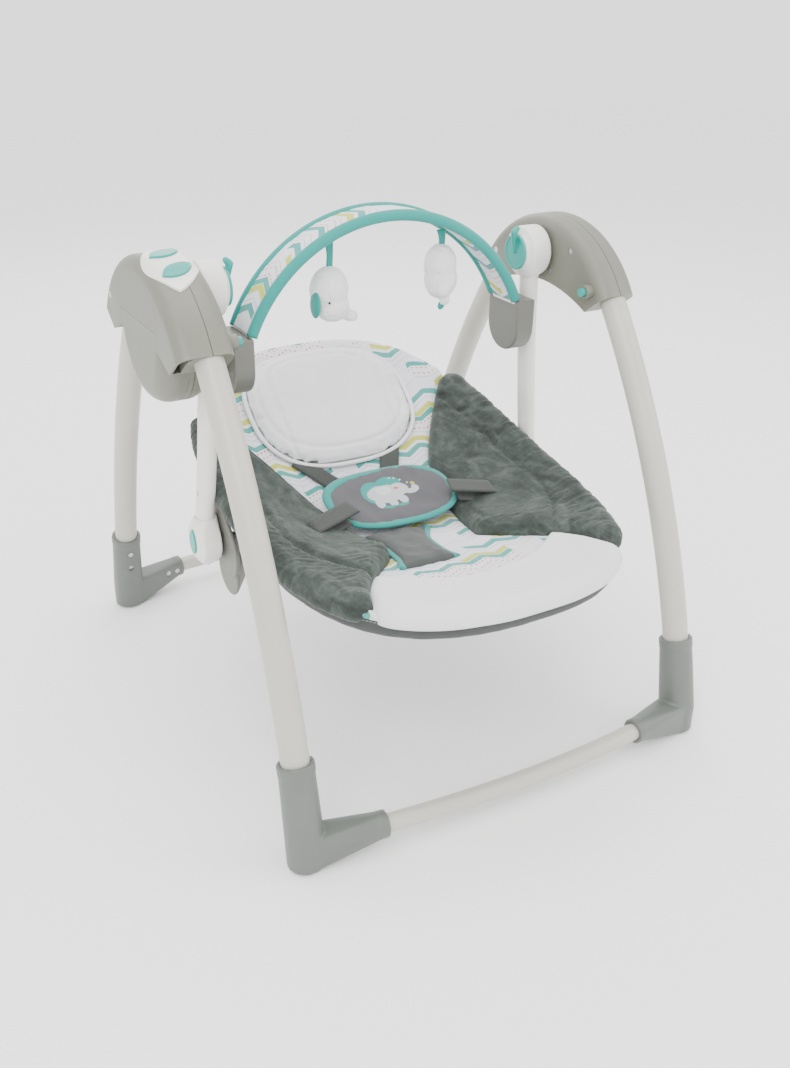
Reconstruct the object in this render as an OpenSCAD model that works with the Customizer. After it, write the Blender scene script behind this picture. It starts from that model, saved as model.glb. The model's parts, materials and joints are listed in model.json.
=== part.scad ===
// Portable baby swing: an A-shaped folding stand, two swing arms, a padded
// seat on a ring frame, and a toy bar. +X is the sitter's left, -Y the foot
// end, +Z up. The origin is on the floor, midway between the four feet.

/* [Stand] */
// Height of the swing axle above the floor
axle_z = 525; // [500:1:560]
// Distance from the middle to each side's pair of legs
leg_x = 249; // [240:1:300]
// Outer diameter of the leg tubes
leg_d = 30; // [24:1:34]
// Wall of the leg tubes
leg_wall = 1.5; // [1:0.1:2.5]
// Distance along Y from the middle to where a leg enters its foot
foot_y = 288; // [260:1:330]
// Height at which a leg enters its foot
foot_z = 111; // [90:1:130]
// Distance along Y from the middle to where a leg enters its housing
collar_y = 113; // [105:1:120]
// Height of the leg collar below the axle
collar_drop = 42; // [36:1:48]
// Radius of the bow in each leg
leg_bow = 1086; // [900:1:2000]
// Outer diameter of the floor bars
bar_d = 20; // [16:1:22]
// Height of the floor bars' centre line
bar_z = 32; // [28:1:36]
// Furthest reach of a floor bar along Y, in the middle of its bow
bar_reach = 332; // [320:1:380]
// Radius of the bow in each floor bar
bar_bow = 1400; // [1000:1:2500]
// Distance from the middle to where a floor bar enters its foot
bar_entry_x = 168; // [140:1:180]
// How far the rear legs swing in when the stand is folded, in degrees
fold_angle = 28; // [10:1:28]

/* [Housings] */
// Outer radius of the arched housings
arch_r = 147; // [140:1:155]
// Half the thickness of the plain housing along X
housing_half = 25; // [23:1:28]
// Extra thickness of the motor housing on its outer side
motor_extra = 10; // [6:1:10]
// Radius of the round belly under the motor housing
belly_r = 73; // [66:1:76]
// Wall of the moulded housings
shell_wall = 2.5; // [2:0.1:3.5]
// Diameter of the swing axles
axle_d = 12; // [10:1:14]
// Diameter of the pins that the rear legs fold on
fold_pin_d = 8; // [6:1:10]

/* [Swing arms] */
// Distance from the middle to an arm's centre line at the axle
arm_top_x = 209; // [205:1:211]
// Distance from the middle to an arm's centre line at the seat pivot
arm_low_x = 229; // [224:1:234]
// Height of the seat pivot
pivot_z = 232; // [215:1:250]
// Width of an arm along Y
arm_w = 25; // [20:1:28]
// Thickness of an arm along X
arm_t = 22; // [16:1:24]
// Radius of the bell-shaped hubs
hub_r = 30; // [26:1:34]

/* [Toy bar] */
// Radius of the toy bar's arch
toy_bar_r = 189; // [180:1:192]
// Width of the toy bar
toy_bar_w = 60; // [48:1:66]
// Height of the toy bar's centre of curvature below the axle
toy_bar_drop = 122; // [118:1:128]
// Height of the toy bar's pivot below the axle
socket_drop = 85; // [82:1:88]
// Distance of the left toy from the middle
left_toy_x = 66; // [50:1:90]
// Distance of the right toy from the middle
right_toy_x = 78; // [50:1:90]

/* [Seat] */
// Half the width of the seat
seat_half_w = 206; // [180:1:206]
// Reach of the seat's foot end along Y
seat_foot_y = 342; // [320:1:360]
// Reach of the seat's head end along Y
seat_head_y = 238; // [220:1:250]
// Height of the lowest stretch of the seat's rim
rim_low_z = 256; // [245:1:265]
// Height of the rim at the head end
rim_head_z = 377; // [360:1:390]
// Depth of the seat below its rim
seat_depth = 64; // [50:1:70]
// Thickness of the seat's quilted lining
lining_t = 12; // [11:1:16]
// Outer diameter of the seat ring
ring_d = 10; // [9:1:13]

/* [Hidden] */
$fn = 48;

cream = [0.83, 0.82, 0.78];
shell_grey = [0.55, 0.55, 0.50];
foot_grey = [0.46, 0.49, 0.46];
clip_grey = [0.40, 0.41, 0.38];
white = [0.93, 0.92, 0.89];
teal = [0.03, 0.68, 0.63];
plush = [0.27, 0.30, 0.27];
webbing = [0.36, 0.38, 0.36];
steel = [0.7, 0.7, 0.72];

// A hair of extra length that carries a cut through a face
over = 1;
// Gap between two moulded parts that are assembled and don't move
seam = 0.3;
// Radial clearance of a pin or shaft that turns in a bore
running = 0.05;
// Gap round a button that travels
button_gap = 0.4;

// ---- leg geometry, in the YZ plane of one side ----
collar_z = axle_z - collar_drop;
leg_dy = foot_y - collar_y;
leg_dz = collar_z - foot_z;
leg_chord = norm([leg_dy, leg_dz]);
leg_rise = sqrt(leg_bow * leg_bow - leg_chord * leg_chord / 4);
// Centre of the front legs' bow
bow_y = -(foot_y + collar_y) / 2 + leg_rise * leg_dz / leg_chord;
bow_z = (foot_z + collar_z) / 2 - leg_rise * leg_dy / leg_chord;
// Lean of a front leg from the vertical at its foot and at its collar
lean_foot = asin((foot_z - bow_z) / leg_bow);
lean_collar = asin((collar_z - bow_z) / leg_bow);
// How far a leg runs into its foot and into its housing
foot_depth = 60;
collar_depth = 8;

// ---- floor bar geometry, in plan ----
bar_centre_y = bar_bow - bar_reach;
bar_run = 28;
bar_end_x = bar_entry_x + bar_run;
bar_entry_y = bar_centre_y - sqrt(bar_bow * bar_bow - bar_entry_x * bar_entry_x);
bar_turn = asin(bar_entry_x / bar_bow);

// ---- housing geometry ----
arch_z = axle_z - 107;
arch_edge_r = 14;
under_r = 226;
under_z = axle_z - 262;
belly_z = axle_z - 40;
belly_edge_r = 22;
motor_half = housing_half + motor_extra / 2;
wall_x = leg_x - housing_half;
// Pivot of the rear legs, up along the leg's own line from its collar
fold_reach = 28;
fold_y = collar_y - fold_reach * sin(lean_collar);
fold_z = collar_z + fold_reach * cos(lean_collar);
slot_r = leg_d / 2 + 3;
// Fold release buttons
release_y = -100;
release_z = axle_z - 30;
release_r = 5;
release_flange = 2;
release_stop = wall_x + 5.8;
spring_seat_x = leg_x - 5;

// ---- swing arm geometry ----
hub_face_x = 188;
hub_back_x = wall_x - 4;
arm_top_z = axle_z - 20;
casing_top_z = pivot_z + 30;
bar_y = -4;
socket_z = axle_z - socket_drop;
casing_half = 13;
socket_in_x = 170;
socket_out_x = 194;
socket_hw = 32;
socket_up = 34;
pin_r = 4;

// ---- toy bar geometry ----
bar_arch_z = axle_z - toy_bar_drop;
strip_r = toy_bar_r - 4.5;
strip_t = 3;
strip_w = toy_bar_w - 14;
piping_r = 3.6;
sleeve_low_angle = asin((socket_z + socket_up + 3 - bar_arch_z) / toy_bar_r);
toy_hinge_drop = 9;

// ---- seat surface ----
// The rim is a superellipse in plan that is fuller at the head end. Its
// height follows a parabola behind the low stretch and another before it.
seat_mid_y = (seat_head_y - seat_foot_y) / 2;
seat_half_l = (seat_head_y + seat_foot_y) / 2;
rim_low_y = seat_mid_y - 200;
foot_power = 2.5;
head_power = 2.9;
foot_lift = 8;
function rim_z(y) =
    let(run = y - rim_low_y)
    run > 0
        ? rim_low_z + (rim_head_z - rim_low_z) * pow(run / (seat_head_y - rim_low_y), 2)
        : rim_low_z + foot_lift * pow(run / (seat_foot_y + rim_low_y), 2);
function half_width(y) =
    let(u = min(abs(y - seat_mid_y) / seat_half_l, 1))
    let(n = y < seat_mid_y ? foot_power : head_power)
    seat_half_w * pow(1 - pow(u, n), 1 / n);
function rim_point(a) =
    let(n = cos(a) > 0 ? foot_power : head_power)
    let(r = 1 / pow(pow(abs(cos(a)), n) + pow(abs(sin(a)), n), 1 / n))
    [seat_half_w * r * sin(a), seat_mid_y - seat_half_l * r * cos(a)];
function depth_at(y) =
    let(u = abs(y - seat_mid_y) / seat_half_l)
    seat_depth * exp(-pow((y - 20) / 190, 2)) * (1 - pow(min(u, 1), 6));
function seat_z(x, y) =
    let(w = max(half_width(y), 1))
    rim_z(y) - depth_at(y) * (1 - pow(min(abs(x) / w, 1), 2.6));

// ---- general shapes ----
module both_sides() {
    children();
    mirror([1, 0, 0]) children();
}

module rear() {
    mirror([0, 1, 0]) children();
}

module left() {
    mirror([1, 0, 0]) children();
}

// A cylinder along X from x0 to x1
module x_rod(x0, x1, y, z, r, fn = 48) {
    translate([x0, y, z]) rotate([0, 90, 0]) cylinder(h = x1 - x0, r = r, $fn = fn);
}

// Closed skin over rings of points that all have the same count
module skin(rings) {
    n = len(rings[0]);
    m = len(rings);
    points = [for (ring = rings) each ring];
    walls = [
        for (i = [0:m - 2], j = [0:n - 1])
            let(k = (j + 1) % n)
            each [
                [i * n + j, (i + 1) * n + j, (i + 1) * n + k],
                [i * n + j, (i + 1) * n + k, i * n + k]
            ]
    ];
    caps = [
        [for (j = [0:n - 1]) j],
        [for (j = [n - 1:-1:0]) (m - 1) * n + j]
    ];
    polyhedron(points, concat(walls, caps));
}

// Closed skin that loops back on its first ring
module loop_skin(rings) {
    n = len(rings[0]);
    m = len(rings);
    points = [for (ring = rings) each ring];
    faces = [
        for (i = [0:m - 1], j = [0:n - 1])
            let(k = (j + 1) % n, q = (i + 1) % m)
            each [
                [i * n + j, q * n + j, q * n + k],
                [i * n + j, q * n + k, i * n + k]
            ]
    ];
    polyhedron(points, faces);
}

// Rectangle with round corners on its high-X side, made of true arcs
module round_edge_profile(x, w, r) {
    translate([0, -w / 2]) square([x - r, w]);
    translate([0, -w / 2 + r]) square([x, w - 2 * r]);
    for (side = [-1, 1]) translate([x - r, side * (w / 2 - r)]) circle(r = r);
}

// Round-edged disc whose axis is X
module x_drum(x, z, r, half, edge) {
    translate([x, 0, z]) rotate([0, 90, 0]) rotate_extrude($fn = 96)
        round_edge_profile(r, 2 * half, edge);
}

// ---- stand: legs, bars and feet ----
// An arc of round bar along a front leg's line, on the +X side
module leg_arc(r, low, high) {
    a0 = lean_foot - low / leg_bow * 180 / PI;
    a1 = lean_collar + high / leg_bow * 180 / PI;
    multmatrix([[0, 0, -1, leg_x], [-1, 0, 0, bow_y], [0, 1, 0, bow_z], [0, 0, 0, 1]])
        rotate([0, 0, a0]) rotate_extrude(angle = a1 - a0)
            translate([leg_bow, 0]) circle(r = r);
}

// An arc of round bar along the front floor bar's line
module bar_arc(r, end_x) {
    half = asin(end_x / bar_bow);
    translate([0, bar_centre_y, bar_z]) rotate([0, 0, -90 - half])
        rotate_extrude(angle = 2 * half) translate([bar_bow, 0]) circle(r = r);
}

// Frame at a front leg's foot entry, with Z up along the leg
module at_foot_entry() {
    translate([leg_x, -foot_y, foot_z]) rotate([-lean_foot, 0, 0]) children();
}

// Frame at the +X end of the front floor bar, with Z outwards along it
module at_bar_entry() {
    translate([bar_entry_x, bar_entry_y, bar_z]) rotate([0, 0, bar_turn])
        rotate([0, 90, 0]) children();
}

foot_collar_r = leg_d / 2 + 4;
bar_collar_r = bar_d / 2 + 4;
heel_y = -foot_y - foot_z * tan(lean_foot) * 0.6;
screw_r = 1.6;
screw_head_r = 3.4;

// Places of the four screws in one foot, with Z out of the screw's head
module foot_screw_places() {
    for (drop = [14, 38])
        at_foot_entry() translate([0, 0, -drop]) rotate([-90, 0, 0])
            translate([0, 0, foot_collar_r]) children();
    for (run = [8, 22])
        at_bar_entry() translate([0, 0, run]) rotate([-90, 0, 0])
            translate([0, 0, bar_collar_r]) children();
}

module foot_screw_holes() {
    foot_screw_places() translate([0, 0, -10]) cylinder(h = 10 + over, r = screw_r + seam);
}

module foot_body() {
    difference() {
        union() {
            hull() {
                at_foot_entry() translate([0, 0, -22]) cylinder(h = 22, r = foot_collar_r, $fn = 32);
                translate([leg_x, heel_y, 3]) cylinder(h = 30, r = 20, $fn = 32);
                translate([leg_x, heel_y, 0]) cylinder(h = 3, r = 16, $fn = 32);
            }
            hull() {
                translate([leg_x, heel_y, 3]) cylinder(h = 36, r = 18, $fn = 32);
                translate([leg_x - 8, heel_y, 0]) cylinder(h = 3, r = 14, $fn = 32);
                at_bar_entry() cylinder(h = 12, r = bar_collar_r, $fn = 32);
            }
            at_foot_entry() translate([0, 0, -4]) cylinder(h = 11, r = foot_collar_r + 0.8);
            at_bar_entry() translate([0, 0, -4]) cylinder(h = 10, r = bar_collar_r + 0.8);
        }
        leg_arc(leg_d / 2, foot_depth, 0);
        bar_arc(bar_d / 2, bar_end_x);
        foot_screw_holes();
        foot_screw_places() translate([0, 0, -1.5]) cylinder(h = 12, r = screw_head_r + seam);
    }
}

module leg_tube(high) {
    difference() {
        leg_arc(leg_d / 2, foot_depth, high);
        leg_arc(leg_d / 2 - leg_wall, foot_depth + over, high + over);
        foot_screw_holes();
    }
}

module base_bar() {
    difference() {
        bar_arc(bar_d / 2, bar_end_x);
        bar_arc(bar_d / 2 - leg_wall, bar_end_x + over);
        both_sides() foot_screw_holes();
    }
}

// Pan-head screw with a cross recess, its head's seat at the origin
module pan_screw(length) {
    difference() {
        union() {
            translate([0, 0, -1.5]) cylinder(h = 2.4, r = screw_head_r);
            translate([0, 0, -length]) cylinder(h = length, r = screw_r);
        }
        for (turn = [0, 90]) rotate([0, 0, turn]) translate([-2, -0.4, 0.2]) cube([4, 0.8, over]);
    }
}

module foot_screws() {
    both_sides() foot_screw_places() pan_screw(8);
}

module front_left_leg() { color(cream) left() leg_tube(collar_depth); }
module front_right_leg() { color(cream) leg_tube(collar_depth); }
module front_left_foot() { color(foot_grey) left() foot_body(); }
module front_right_foot() { color(foot_grey) foot_body(); }
module front_base_bar() { color(cream) base_bar(); }
module front_foot_screws() { color(steel) foot_screws(); }
module rear_left_leg() { color(cream) rear() left() leg_tube(0); }
module rear_right_leg() { color(cream) rear() leg_tube(0); }
module rear_left_foot() { color(foot_grey) rear() left() foot_body(); }
module rear_right_foot() { color(foot_grey) rear() foot_body(); }
module rear_base_bar() { color(cream) rear() base_bar(); }
module rear_foot_screws() { color(steel) rear() foot_screws(); }

// Plug in the top of a rear leg, with the eye that turns on the fold pin
module knuckle() {
    difference() {
        union() {
            x_rod(leg_x - 9, leg_x + 9, fold_y, fold_z, 12);
            translate([leg_x, fold_y, fold_z]) rotate([180 + lean_collar, 0, 0])
                cylinder(h = fold_reach + 24, r = leg_d / 2 - leg_wall - 1.2);
            translate([leg_x, fold_y, fold_z]) rotate([180 + lean_collar, 0, 0])
                cylinder(h = fold_reach - 1, r = leg_d / 2 - leg_wall);
        }
        x_rod(leg_x - 20, leg_x + 20, fold_y, fold_z, fold_pin_d / 2 + running);
    }
}

module leg_knuckles() { color(clip_grey) both_sides() knuckle(); }

module fold_pins() {
    color(steel) {
        x_rod(wall_x, leg_x + housing_half, fold_y, fold_z, fold_pin_d / 2);
        x_rod(-(leg_x + motor_half + motor_extra / 2), -wall_x, fold_y, fold_z, fold_pin_d / 2);
    }
}

// ---- housings ----
// Arched body over the axle, closed below by a flatter arch. inset moves
// every face inwards; ends are square to the legs.
module arch_body(x, half, inset) {
    difference() {
        x_drum(x, arch_z, arch_r - inset, half - inset, arch_edge_r - inset);
        x_rod(x - 2 * half, x + 2 * half, 0, under_z, under_r + inset, 128);
        for (side = [0, 1]) mirror([0, side, 0])
            translate([x, -collar_y, collar_z]) rotate([-lean_collar, 0, 0])
                translate([-100, -120, -400]) cube([200, 240, 400]);
        translate([x - 100, -arch_r, 0]) cube([200, 2 * arch_r, collar_z - 70]);
    }
}

// Space that a rear leg sweeps inside its housing as it folds
module fold_slot() {
    rest = lean_collar;
    mid = lean_collar - fold_angle / 2;
    low = lean_collar - fold_angle - 3;
    reach = 95;
    p = [fold_y, fold_z];
    out = [sin(rest), -cos(rest)];
    side = [cos(rest), sin(rest)];
    in_dir = [sin(low), -cos(low)];
    in_side = [cos(low), sin(low)];
    translate([leg_x - slot_r, 0, 0]) rotate([90, 0, 90]) linear_extrude(2 * slot_r)
        polygon([
            p + side * slot_r, p + out * reach + side * slot_r,
            p + [sin(mid), -cos(mid)] * (reach + 10),
            p + in_dir * reach - in_side * slot_r, p - in_side * slot_r
        ]);
}

module leg_room() {
    leg_arc(leg_d / 2, 0, collar_depth);
    rear() leg_arc(leg_d / 2 + 1, 0, 4);
    fold_slot();
    x_rod(leg_x - 12, leg_x + 12, fold_y, fold_z, 14);
}

module pin_holes() {
    x_rod(leg_x - 60, leg_x + 60, fold_y, fold_z, fold_pin_d / 2);
    x_rod(leg_x - 40, spring_seat_x, release_y, release_z, release_r + button_gap);
    x_rod(release_stop, spring_seat_x, release_y, release_z, release_r + release_flange + button_gap);
    x_rod(leg_x - 60, leg_x - 5, 0, axle_z, bush_r);
}

// Bosses that carry the fold pin, the bush and the release button
module inner_bosses() {
    x_rod(wall_x, leg_x - 10, fold_y, fold_z, fold_pin_d / 2 + 3);
    x_rod(wall_x, wall_x + 12, 0, axle_z, bush_r + 3);
    x_rod(wall_x - 9, wall_x + 5, release_y, release_z, release_r + 3);
}

module housing_screw_places() {
    for (spot = [[-58, 8], [-20, -22], [62, -6]])
        translate([0, spot[0], axle_z + spot[1]]) children();
}

bush_r = axle_d / 2 + 4;

module plain_shell() {
    difference() {
        arch_body(leg_x, housing_half, 0);
        arch_body(leg_x, housing_half - 0.01, shell_wall);
    }
}

module leg_clamps(x_low, x_high) {
    intersection() {
        arch_body(leg_x, housing_half, shell_wall / 2);
        translate([x_low, -collar_y - 30, 0]) cube([x_high - x_low, 52, 2 * axle_z]);
    }
}

module inner_half(x_high) {
    intersection() {
        children();
        translate([0, -arch_r - over, 0]) cube([x_high, 2 * arch_r + 2, 2 * axle_z]);
    }
}

module outer_half(x_low) {
    intersection() {
        children();
        translate([x_low, -arch_r - over, 0]) cube([200, 2 * arch_r + 2, 2 * axle_z]);
    }
}

screw_boss_r = 4.5;

module plain_housing_inner() {
    color(shell_grey) difference() {
        union() {
            inner_half(leg_x) plain_shell();
            inner_half(leg_x) leg_clamps(wall_x + 1, leg_x);
            inner_bosses();
            housing_screw_places() x_rod(wall_x, leg_x, 0, 0, screw_boss_r);
        }
        leg_room();
        pin_holes();
        housing_screw_places() {
            x_rod(wall_x - over, wall_x + 3, 0, 0, screw_head_r + seam);
            x_rod(wall_x, leg_x + over, 0, 0, screw_r + seam);
        }
    }
}

module plain_housing_outer() {
    color(shell_grey) difference() {
        union() {
            outer_half(leg_x) plain_shell();
            outer_half(leg_x) leg_clamps(leg_x, leg_x + housing_half - 1);
            x_rod(leg_x + 10, leg_x + housing_half - 1, fold_y, fold_z, fold_pin_d / 2 + 3);
            housing_screw_places() x_rod(leg_x, leg_x + housing_half - 1, 0, 0, screw_boss_r);
        }
        leg_room();
        pin_holes();
        housing_screw_places() x_rod(leg_x - over, leg_x + 8, 0, 0, screw_r);
    }
}

// The motor housing is drawn on the +X side and mirrored
motor_mid = leg_x + motor_extra / 2;

module motor_solid(inset) {
    arch_body(motor_mid, motor_half, inset);
    x_drum(motor_mid, belly_z, belly_r - inset, motor_half - inset, belly_edge_r - inset);
}

module motor_shell() {
    difference() {
        motor_solid(0);
        motor_solid(shell_wall);
    }
}

// Part of the belly's outer skin that opens for the batteries
module door_region(gap) {
    translate([leg_x + 6 + gap, 0, belly_z + 4 - gap]) rotate([90, 0, 90])
        linear_extrude(60) difference() {
            translate([0, -20]) circle(r = belly_r - 6 - gap);
            translate([-belly_r, 12]) square([2 * belly_r, belly_r]);
        }
}

module motor_housing_inner() {
    color(shell_grey) left() difference() {
        union() {
            inner_half(leg_x) motor_shell();
            inner_half(leg_x) leg_clamps(wall_x + 1, leg_x);
            inner_bosses();
            housing_screw_places() x_rod(wall_x, leg_x, 0, 0, screw_boss_r);
        }
        leg_room();
        pin_holes();
        housing_screw_places() {
            x_rod(wall_x - over, wall_x + 3, 0, 0, screw_head_r + seam);
            x_rod(wall_x, leg_x + over, 0, 0, screw_r + seam);
        }
        leaf_wells();
    }
}

module motor_housing_outer() {
    color(shell_grey) left() difference() {
        union() {
            outer_half(leg_x) motor_shell();
            outer_half(leg_x) leg_clamps(leg_x, leg_x + housing_half - 1);
            x_rod(leg_x + 10, motor_mid + motor_half - 1, fold_y, fold_z, fold_pin_d / 2 + 3);
            housing_screw_places() x_rod(leg_x, motor_mid + motor_half - 1, 0, 0, screw_boss_r);
        }
        leg_room();
        pin_holes();
        housing_screw_places() x_rod(leg_x - over, leg_x + 8, 0, 0, screw_r);
        door_region(-seam);
        leaf_wells();
    }
}

module battery_door() {
    color(shell_grey) left() difference() {
        intersection() {
            outer_half(leg_x) motor_shell();
            door_region(0);
        }
        leg_room();
    }
}

cell_r = 13;
cell_l = 48;

module batteries() {
    color([0.2, 0.35, 0.3]) left()
        for (a = [-51, -17, 17, 51])
            translate([motor_mid - cell_l / 2, 0, belly_z]) rotate([a, 0, 0])
                translate([0, 0, -(belly_r - shell_wall - cell_r - 10)]) {
                    x_rod(0, cell_l, 0, 0, cell_r);
                    x_rod(cell_l, cell_l + 1.5, 0, 0, cell_r / 3);
                }
}

// ---- control panel ----
panel_t = 2.5;
leaf_rise = 2.2;
panel_y = -27;

// Pointed oval prism, square to the top of the arch, made of two arcs
module leaf(y, x, length, width, turn) {
    big_r = (length * length / 4 + width * width / 4) / width;
    translate([x, 0, arch_z]) rotate([-asin(y / arch_r), 0, 0]) rotate([0, 0, turn])
        translate([0, 0, arch_r / 2])
            intersection() {
                translate([big_r - width / 2, 0, 0]) cylinder(h = arch_r, r = big_r, $fn = 96);
                translate([width / 2 - big_r, 0, 0]) cylinder(h = arch_r, r = big_r, $fn = 96);
            }
}

leaf_l = 40;
leaf_w = 19;
leaf_x = motor_mid - 1;
power_y = -48;
music_y = -9;
leaf_turn = 62;

module leaf_pair(grow) {
    leaf(power_y, leaf_x, leaf_l + 2 * grow, leaf_w + 2 * grow, leaf_turn);
    leaf(music_y, leaf_x, leaf_l + 2 * grow, leaf_w + 2 * grow, leaf_turn);
}

// Room for the buttons' skirts below the panel
module leaf_wells() {
    intersection() {
        motor_solid(-over);
        leaf_pair(button_gap);
    }
}

module top_band(low, high) {
    difference() {
        x_drum(motor_mid, arch_z, arch_r + high, motor_half + min(high, 0), arch_edge_r + high);
        x_drum(motor_mid, arch_z, arch_r + low, motor_half + over, arch_edge_r + low + over);
    }
}

module control_panel() {
    color(white) left() difference() {
        intersection() {
            top_band(0.05, panel_t);
            leaf(panel_y, leaf_x, 104, 56, 8);
        }
        leaf_pair(button_gap);
    }
}

module leaf_button(y) {
    intersection() {
        top_band(-shell_wall - 2, panel_t + leaf_rise);
        leaf(y, leaf_x, leaf_l, leaf_w, leaf_turn);
    }
}

module power_button() { color(teal) left() leaf_button(power_y); }
module music_button() { color(teal) left() leaf_button(music_y); }

module circuit_board() {
    color([0.1, 0.4, 0.25]) left() {
        translate([motor_mid + 6, -52, belly_z + 2]) cube([1.6, 24, 40]);
        translate([motor_mid + 2.5, -48, belly_z + 12]) cube([3.5, 10, 14]);
        translate([motor_mid + 3, -35, belly_z + 8]) cube([3, 6, 20]);
    }
}

module speaker() {
    color([0.15, 0.15, 0.15]) left() {
        x_rod(motor_mid + 14, motor_mid + 22, 34, axle_z - 4, 16);
        x_rod(motor_mid + 9, motor_mid + 14, 34, axle_z - 4, 8);
    }
}

lever_l = 40;
lever_x = leg_x - 7.5;
magnet_t = 7;

module drive_coil() {
    color([0.7, 0.4, 0.2]) left() difference() {
        x_rod(leg_x - 2, leg_x + 6, 0, axle_z - lever_l, 13);
        x_rod(leg_x - 3, leg_x + 7, 0, axle_z - lever_l, 5);
    }
}

module magnet_lever() {
    color(white) left() difference() {
        union() {
            x_rod(lever_x - 3, lever_x + 3, 0, axle_z, axle_d / 2 + 4);
            translate([lever_x - 2, -6, axle_z - lever_l + 7]) cube([4, 12, lever_l - 10]);
        }
        x_rod(lever_x - 5, lever_x + 5, 0, axle_z, axle_d / 2);
    }
}

module drive_magnet() {
    color(steel) left() translate([lever_x - magnet_t / 2, -9, axle_z - lever_l - 6])
        cube([magnet_t, 18, 13]);
}

module axle_bushes() {
    color(white) both_sides() difference() {
        union() {
            x_rod(wall_x, wall_x + 14, 0, axle_z, bush_r);
            x_rod(wall_x + 12, wall_x + 14, 0, axle_z, bush_r + 3);
        }
        x_rod(wall_x - over, wall_x + 15, 0, axle_z, axle_d / 2 + running);
    }
}

module housing_screws() {
    color(steel) both_sides() housing_screw_places()
        translate([wall_x + 3, 0, 0]) rotate([0, -90, 0]) {
            cylinder(h = 2.4, r = screw_head_r);
            translate([0, 0, -28]) cylinder(h = 28.5, r = screw_r);
        }
}

// ---- fold release buttons and their springs ----
module release_button() {
    color(teal) {
        x_rod(wall_x - 14, wall_x + 8, release_y, release_z, release_r);
        x_rod(release_stop + 0.2, wall_x + 8, release_y, release_z, release_r + release_flange);
    }
}

spring_r = 3.2;
spring_wire = 0.6;
spring_turns = 4;

module release_spring() {
    x0 = wall_x + 8.2;
    x1 = spring_seat_x;
    steps = spring_turns * 12;
    rings = [
        for (i = [0:steps])
            let(a = i * 30, x = x0 + spring_wire + (x1 - x0 - 2 * spring_wire) * i / steps)
            [
                for (b = [0:60:300])
                    let(r = spring_r + spring_wire * cos(b))
                    [
                        x + spring_wire * sin(b),
                        release_y + r * cos(a), release_z + r * sin(a)
                    ]
            ]
    ];
    color(steel) skin(rings);
}

module left_fold_button() { left() release_button(); }
module right_fold_button() { release_button(); }
module left_fold_spring() { left() release_spring(); }
module right_fold_spring() { release_spring(); }

// ---- swing arms ----
// Centre of an arm at height z: below the housing it leans out more and more
function arm_x(z) =
    let(t = (arm_top_z - z) / (arm_top_z - pivot_z))
    arm_top_x + (arm_low_x - arm_top_x) * pow(max(t, 0), 1.5);
function arm_y(z) =
    let(t = (arm_top_z - z) / (arm_top_z - pivot_z))
    5 * t;

pivot_y = arm_y(pivot_z);

module arm_sweep() {
    steps = 12;
    low = casing_top_z - 12;
    high = arm_top_z + 4;
    rings = [
        for (i = [0:steps])
            let(z = low + (high - low) * i / steps)
            [
                for (a = [0:20:340])
                    [arm_x(z) + arm_t / 2 * cos(a), arm_y(z) + arm_w / 2 * sin(a), z]
            ]
    ];
    skin(rings);
}

// Bell-shaped hub round the axle
module hub_bell() {
    translate([hub_face_x, 0, axle_z]) rotate([0, 90, 0]) rotate_extrude($fn = 72)
        difference() {
            union() {
                square([hub_r, hub_back_x - hub_face_x - 4]);
                square([hub_r - 3, hub_back_x - hub_face_x]);
                translate([hub_r - 4, hub_back_x - hub_face_x - 4]) circle(r = 4);
            }
            translate([hub_r + 2, -6]) circle(r = 12);
        }
}

module arm_body() {
    difference() {
        union() {
            arm_sweep();
            hub_bell();
            x_rod(socket_out_x + 1, arm_x(socket_z), bar_y, socket_z, 11);
        }
        x_rod(hub_face_x + 4, hub_back_x + over, 0, axle_z, axle_d / 2);
        x_rod(socket_out_x - over, arm_x(socket_z) + 2, bar_y, socket_z, pin_r);
        arm_screw_places() {
            translate([0, 0, -2]) cylinder(h = 12, r = screw_head_r + seam);
            translate([0, 0, -9]) cylinder(h = 12, r = screw_r + seam / 2);
        }
    }
}

// Two small screws on the outer face of each arm
module arm_screw_places() {
    for (z = [axle_z - 60, pivot_z + 60])
        translate([arm_x(z) + arm_t / 2, arm_y(z), z]) rotate([0, 90, 0]) children();
}

module left_arm() { color(white) left() arm_body(); }
module right_arm() { color(white) arm_body(); }

module arm_screws() {
    color(steel) both_sides() arm_screw_places() translate([0, 0, -3]) {
        translate([0, 0, 1]) cylinder(h = 1.5, r = screw_head_r);
        translate([0, 0, -5]) cylinder(h = 6.5, r = screw_r);
    }
}

module swing_axles() {
    color(steel) {
        x_rod(hub_face_x + 4, leg_x - 5, 0, axle_z, axle_d / 2);
        left() x_rod(hub_face_x + 4, lever_x + 5, 0, axle_z, axle_d / 2);
    }
}

cap_r = 21;

// Teal disc on the hub's inner face, with a hook for hanging a toy
module hub_caps() {
    color(teal) both_sides() {
        difference() {
            x_rod(hub_face_x - 3, hub_face_x, 0, axle_z, cap_r);
            x_rod(hub_face_x - 3 - over, hub_face_x - 2, 0, axle_z, cap_r - 3);
        }
        hull() {
            translate([hub_face_x - 3, 0, axle_z + 1]) sphere(r = 2.4, $fn = 24);
            translate([hub_face_x - 7, -3, axle_z + 24]) sphere(r = 4.2, $fn = 24);
        }
        hull() {
            translate([hub_face_x - 7, -3, axle_z + 24]) sphere(r = 4.2, $fn = 24);
            translate([hub_face_x - 3, -3, axle_z + 28]) sphere(r = 3.4, $fn = 24);
        }
    }
}

button_hw = 9;
button_hl = 15;
recline_depth = 9;
recline_travel = 4;
casing_x = arm_low_x;

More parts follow.
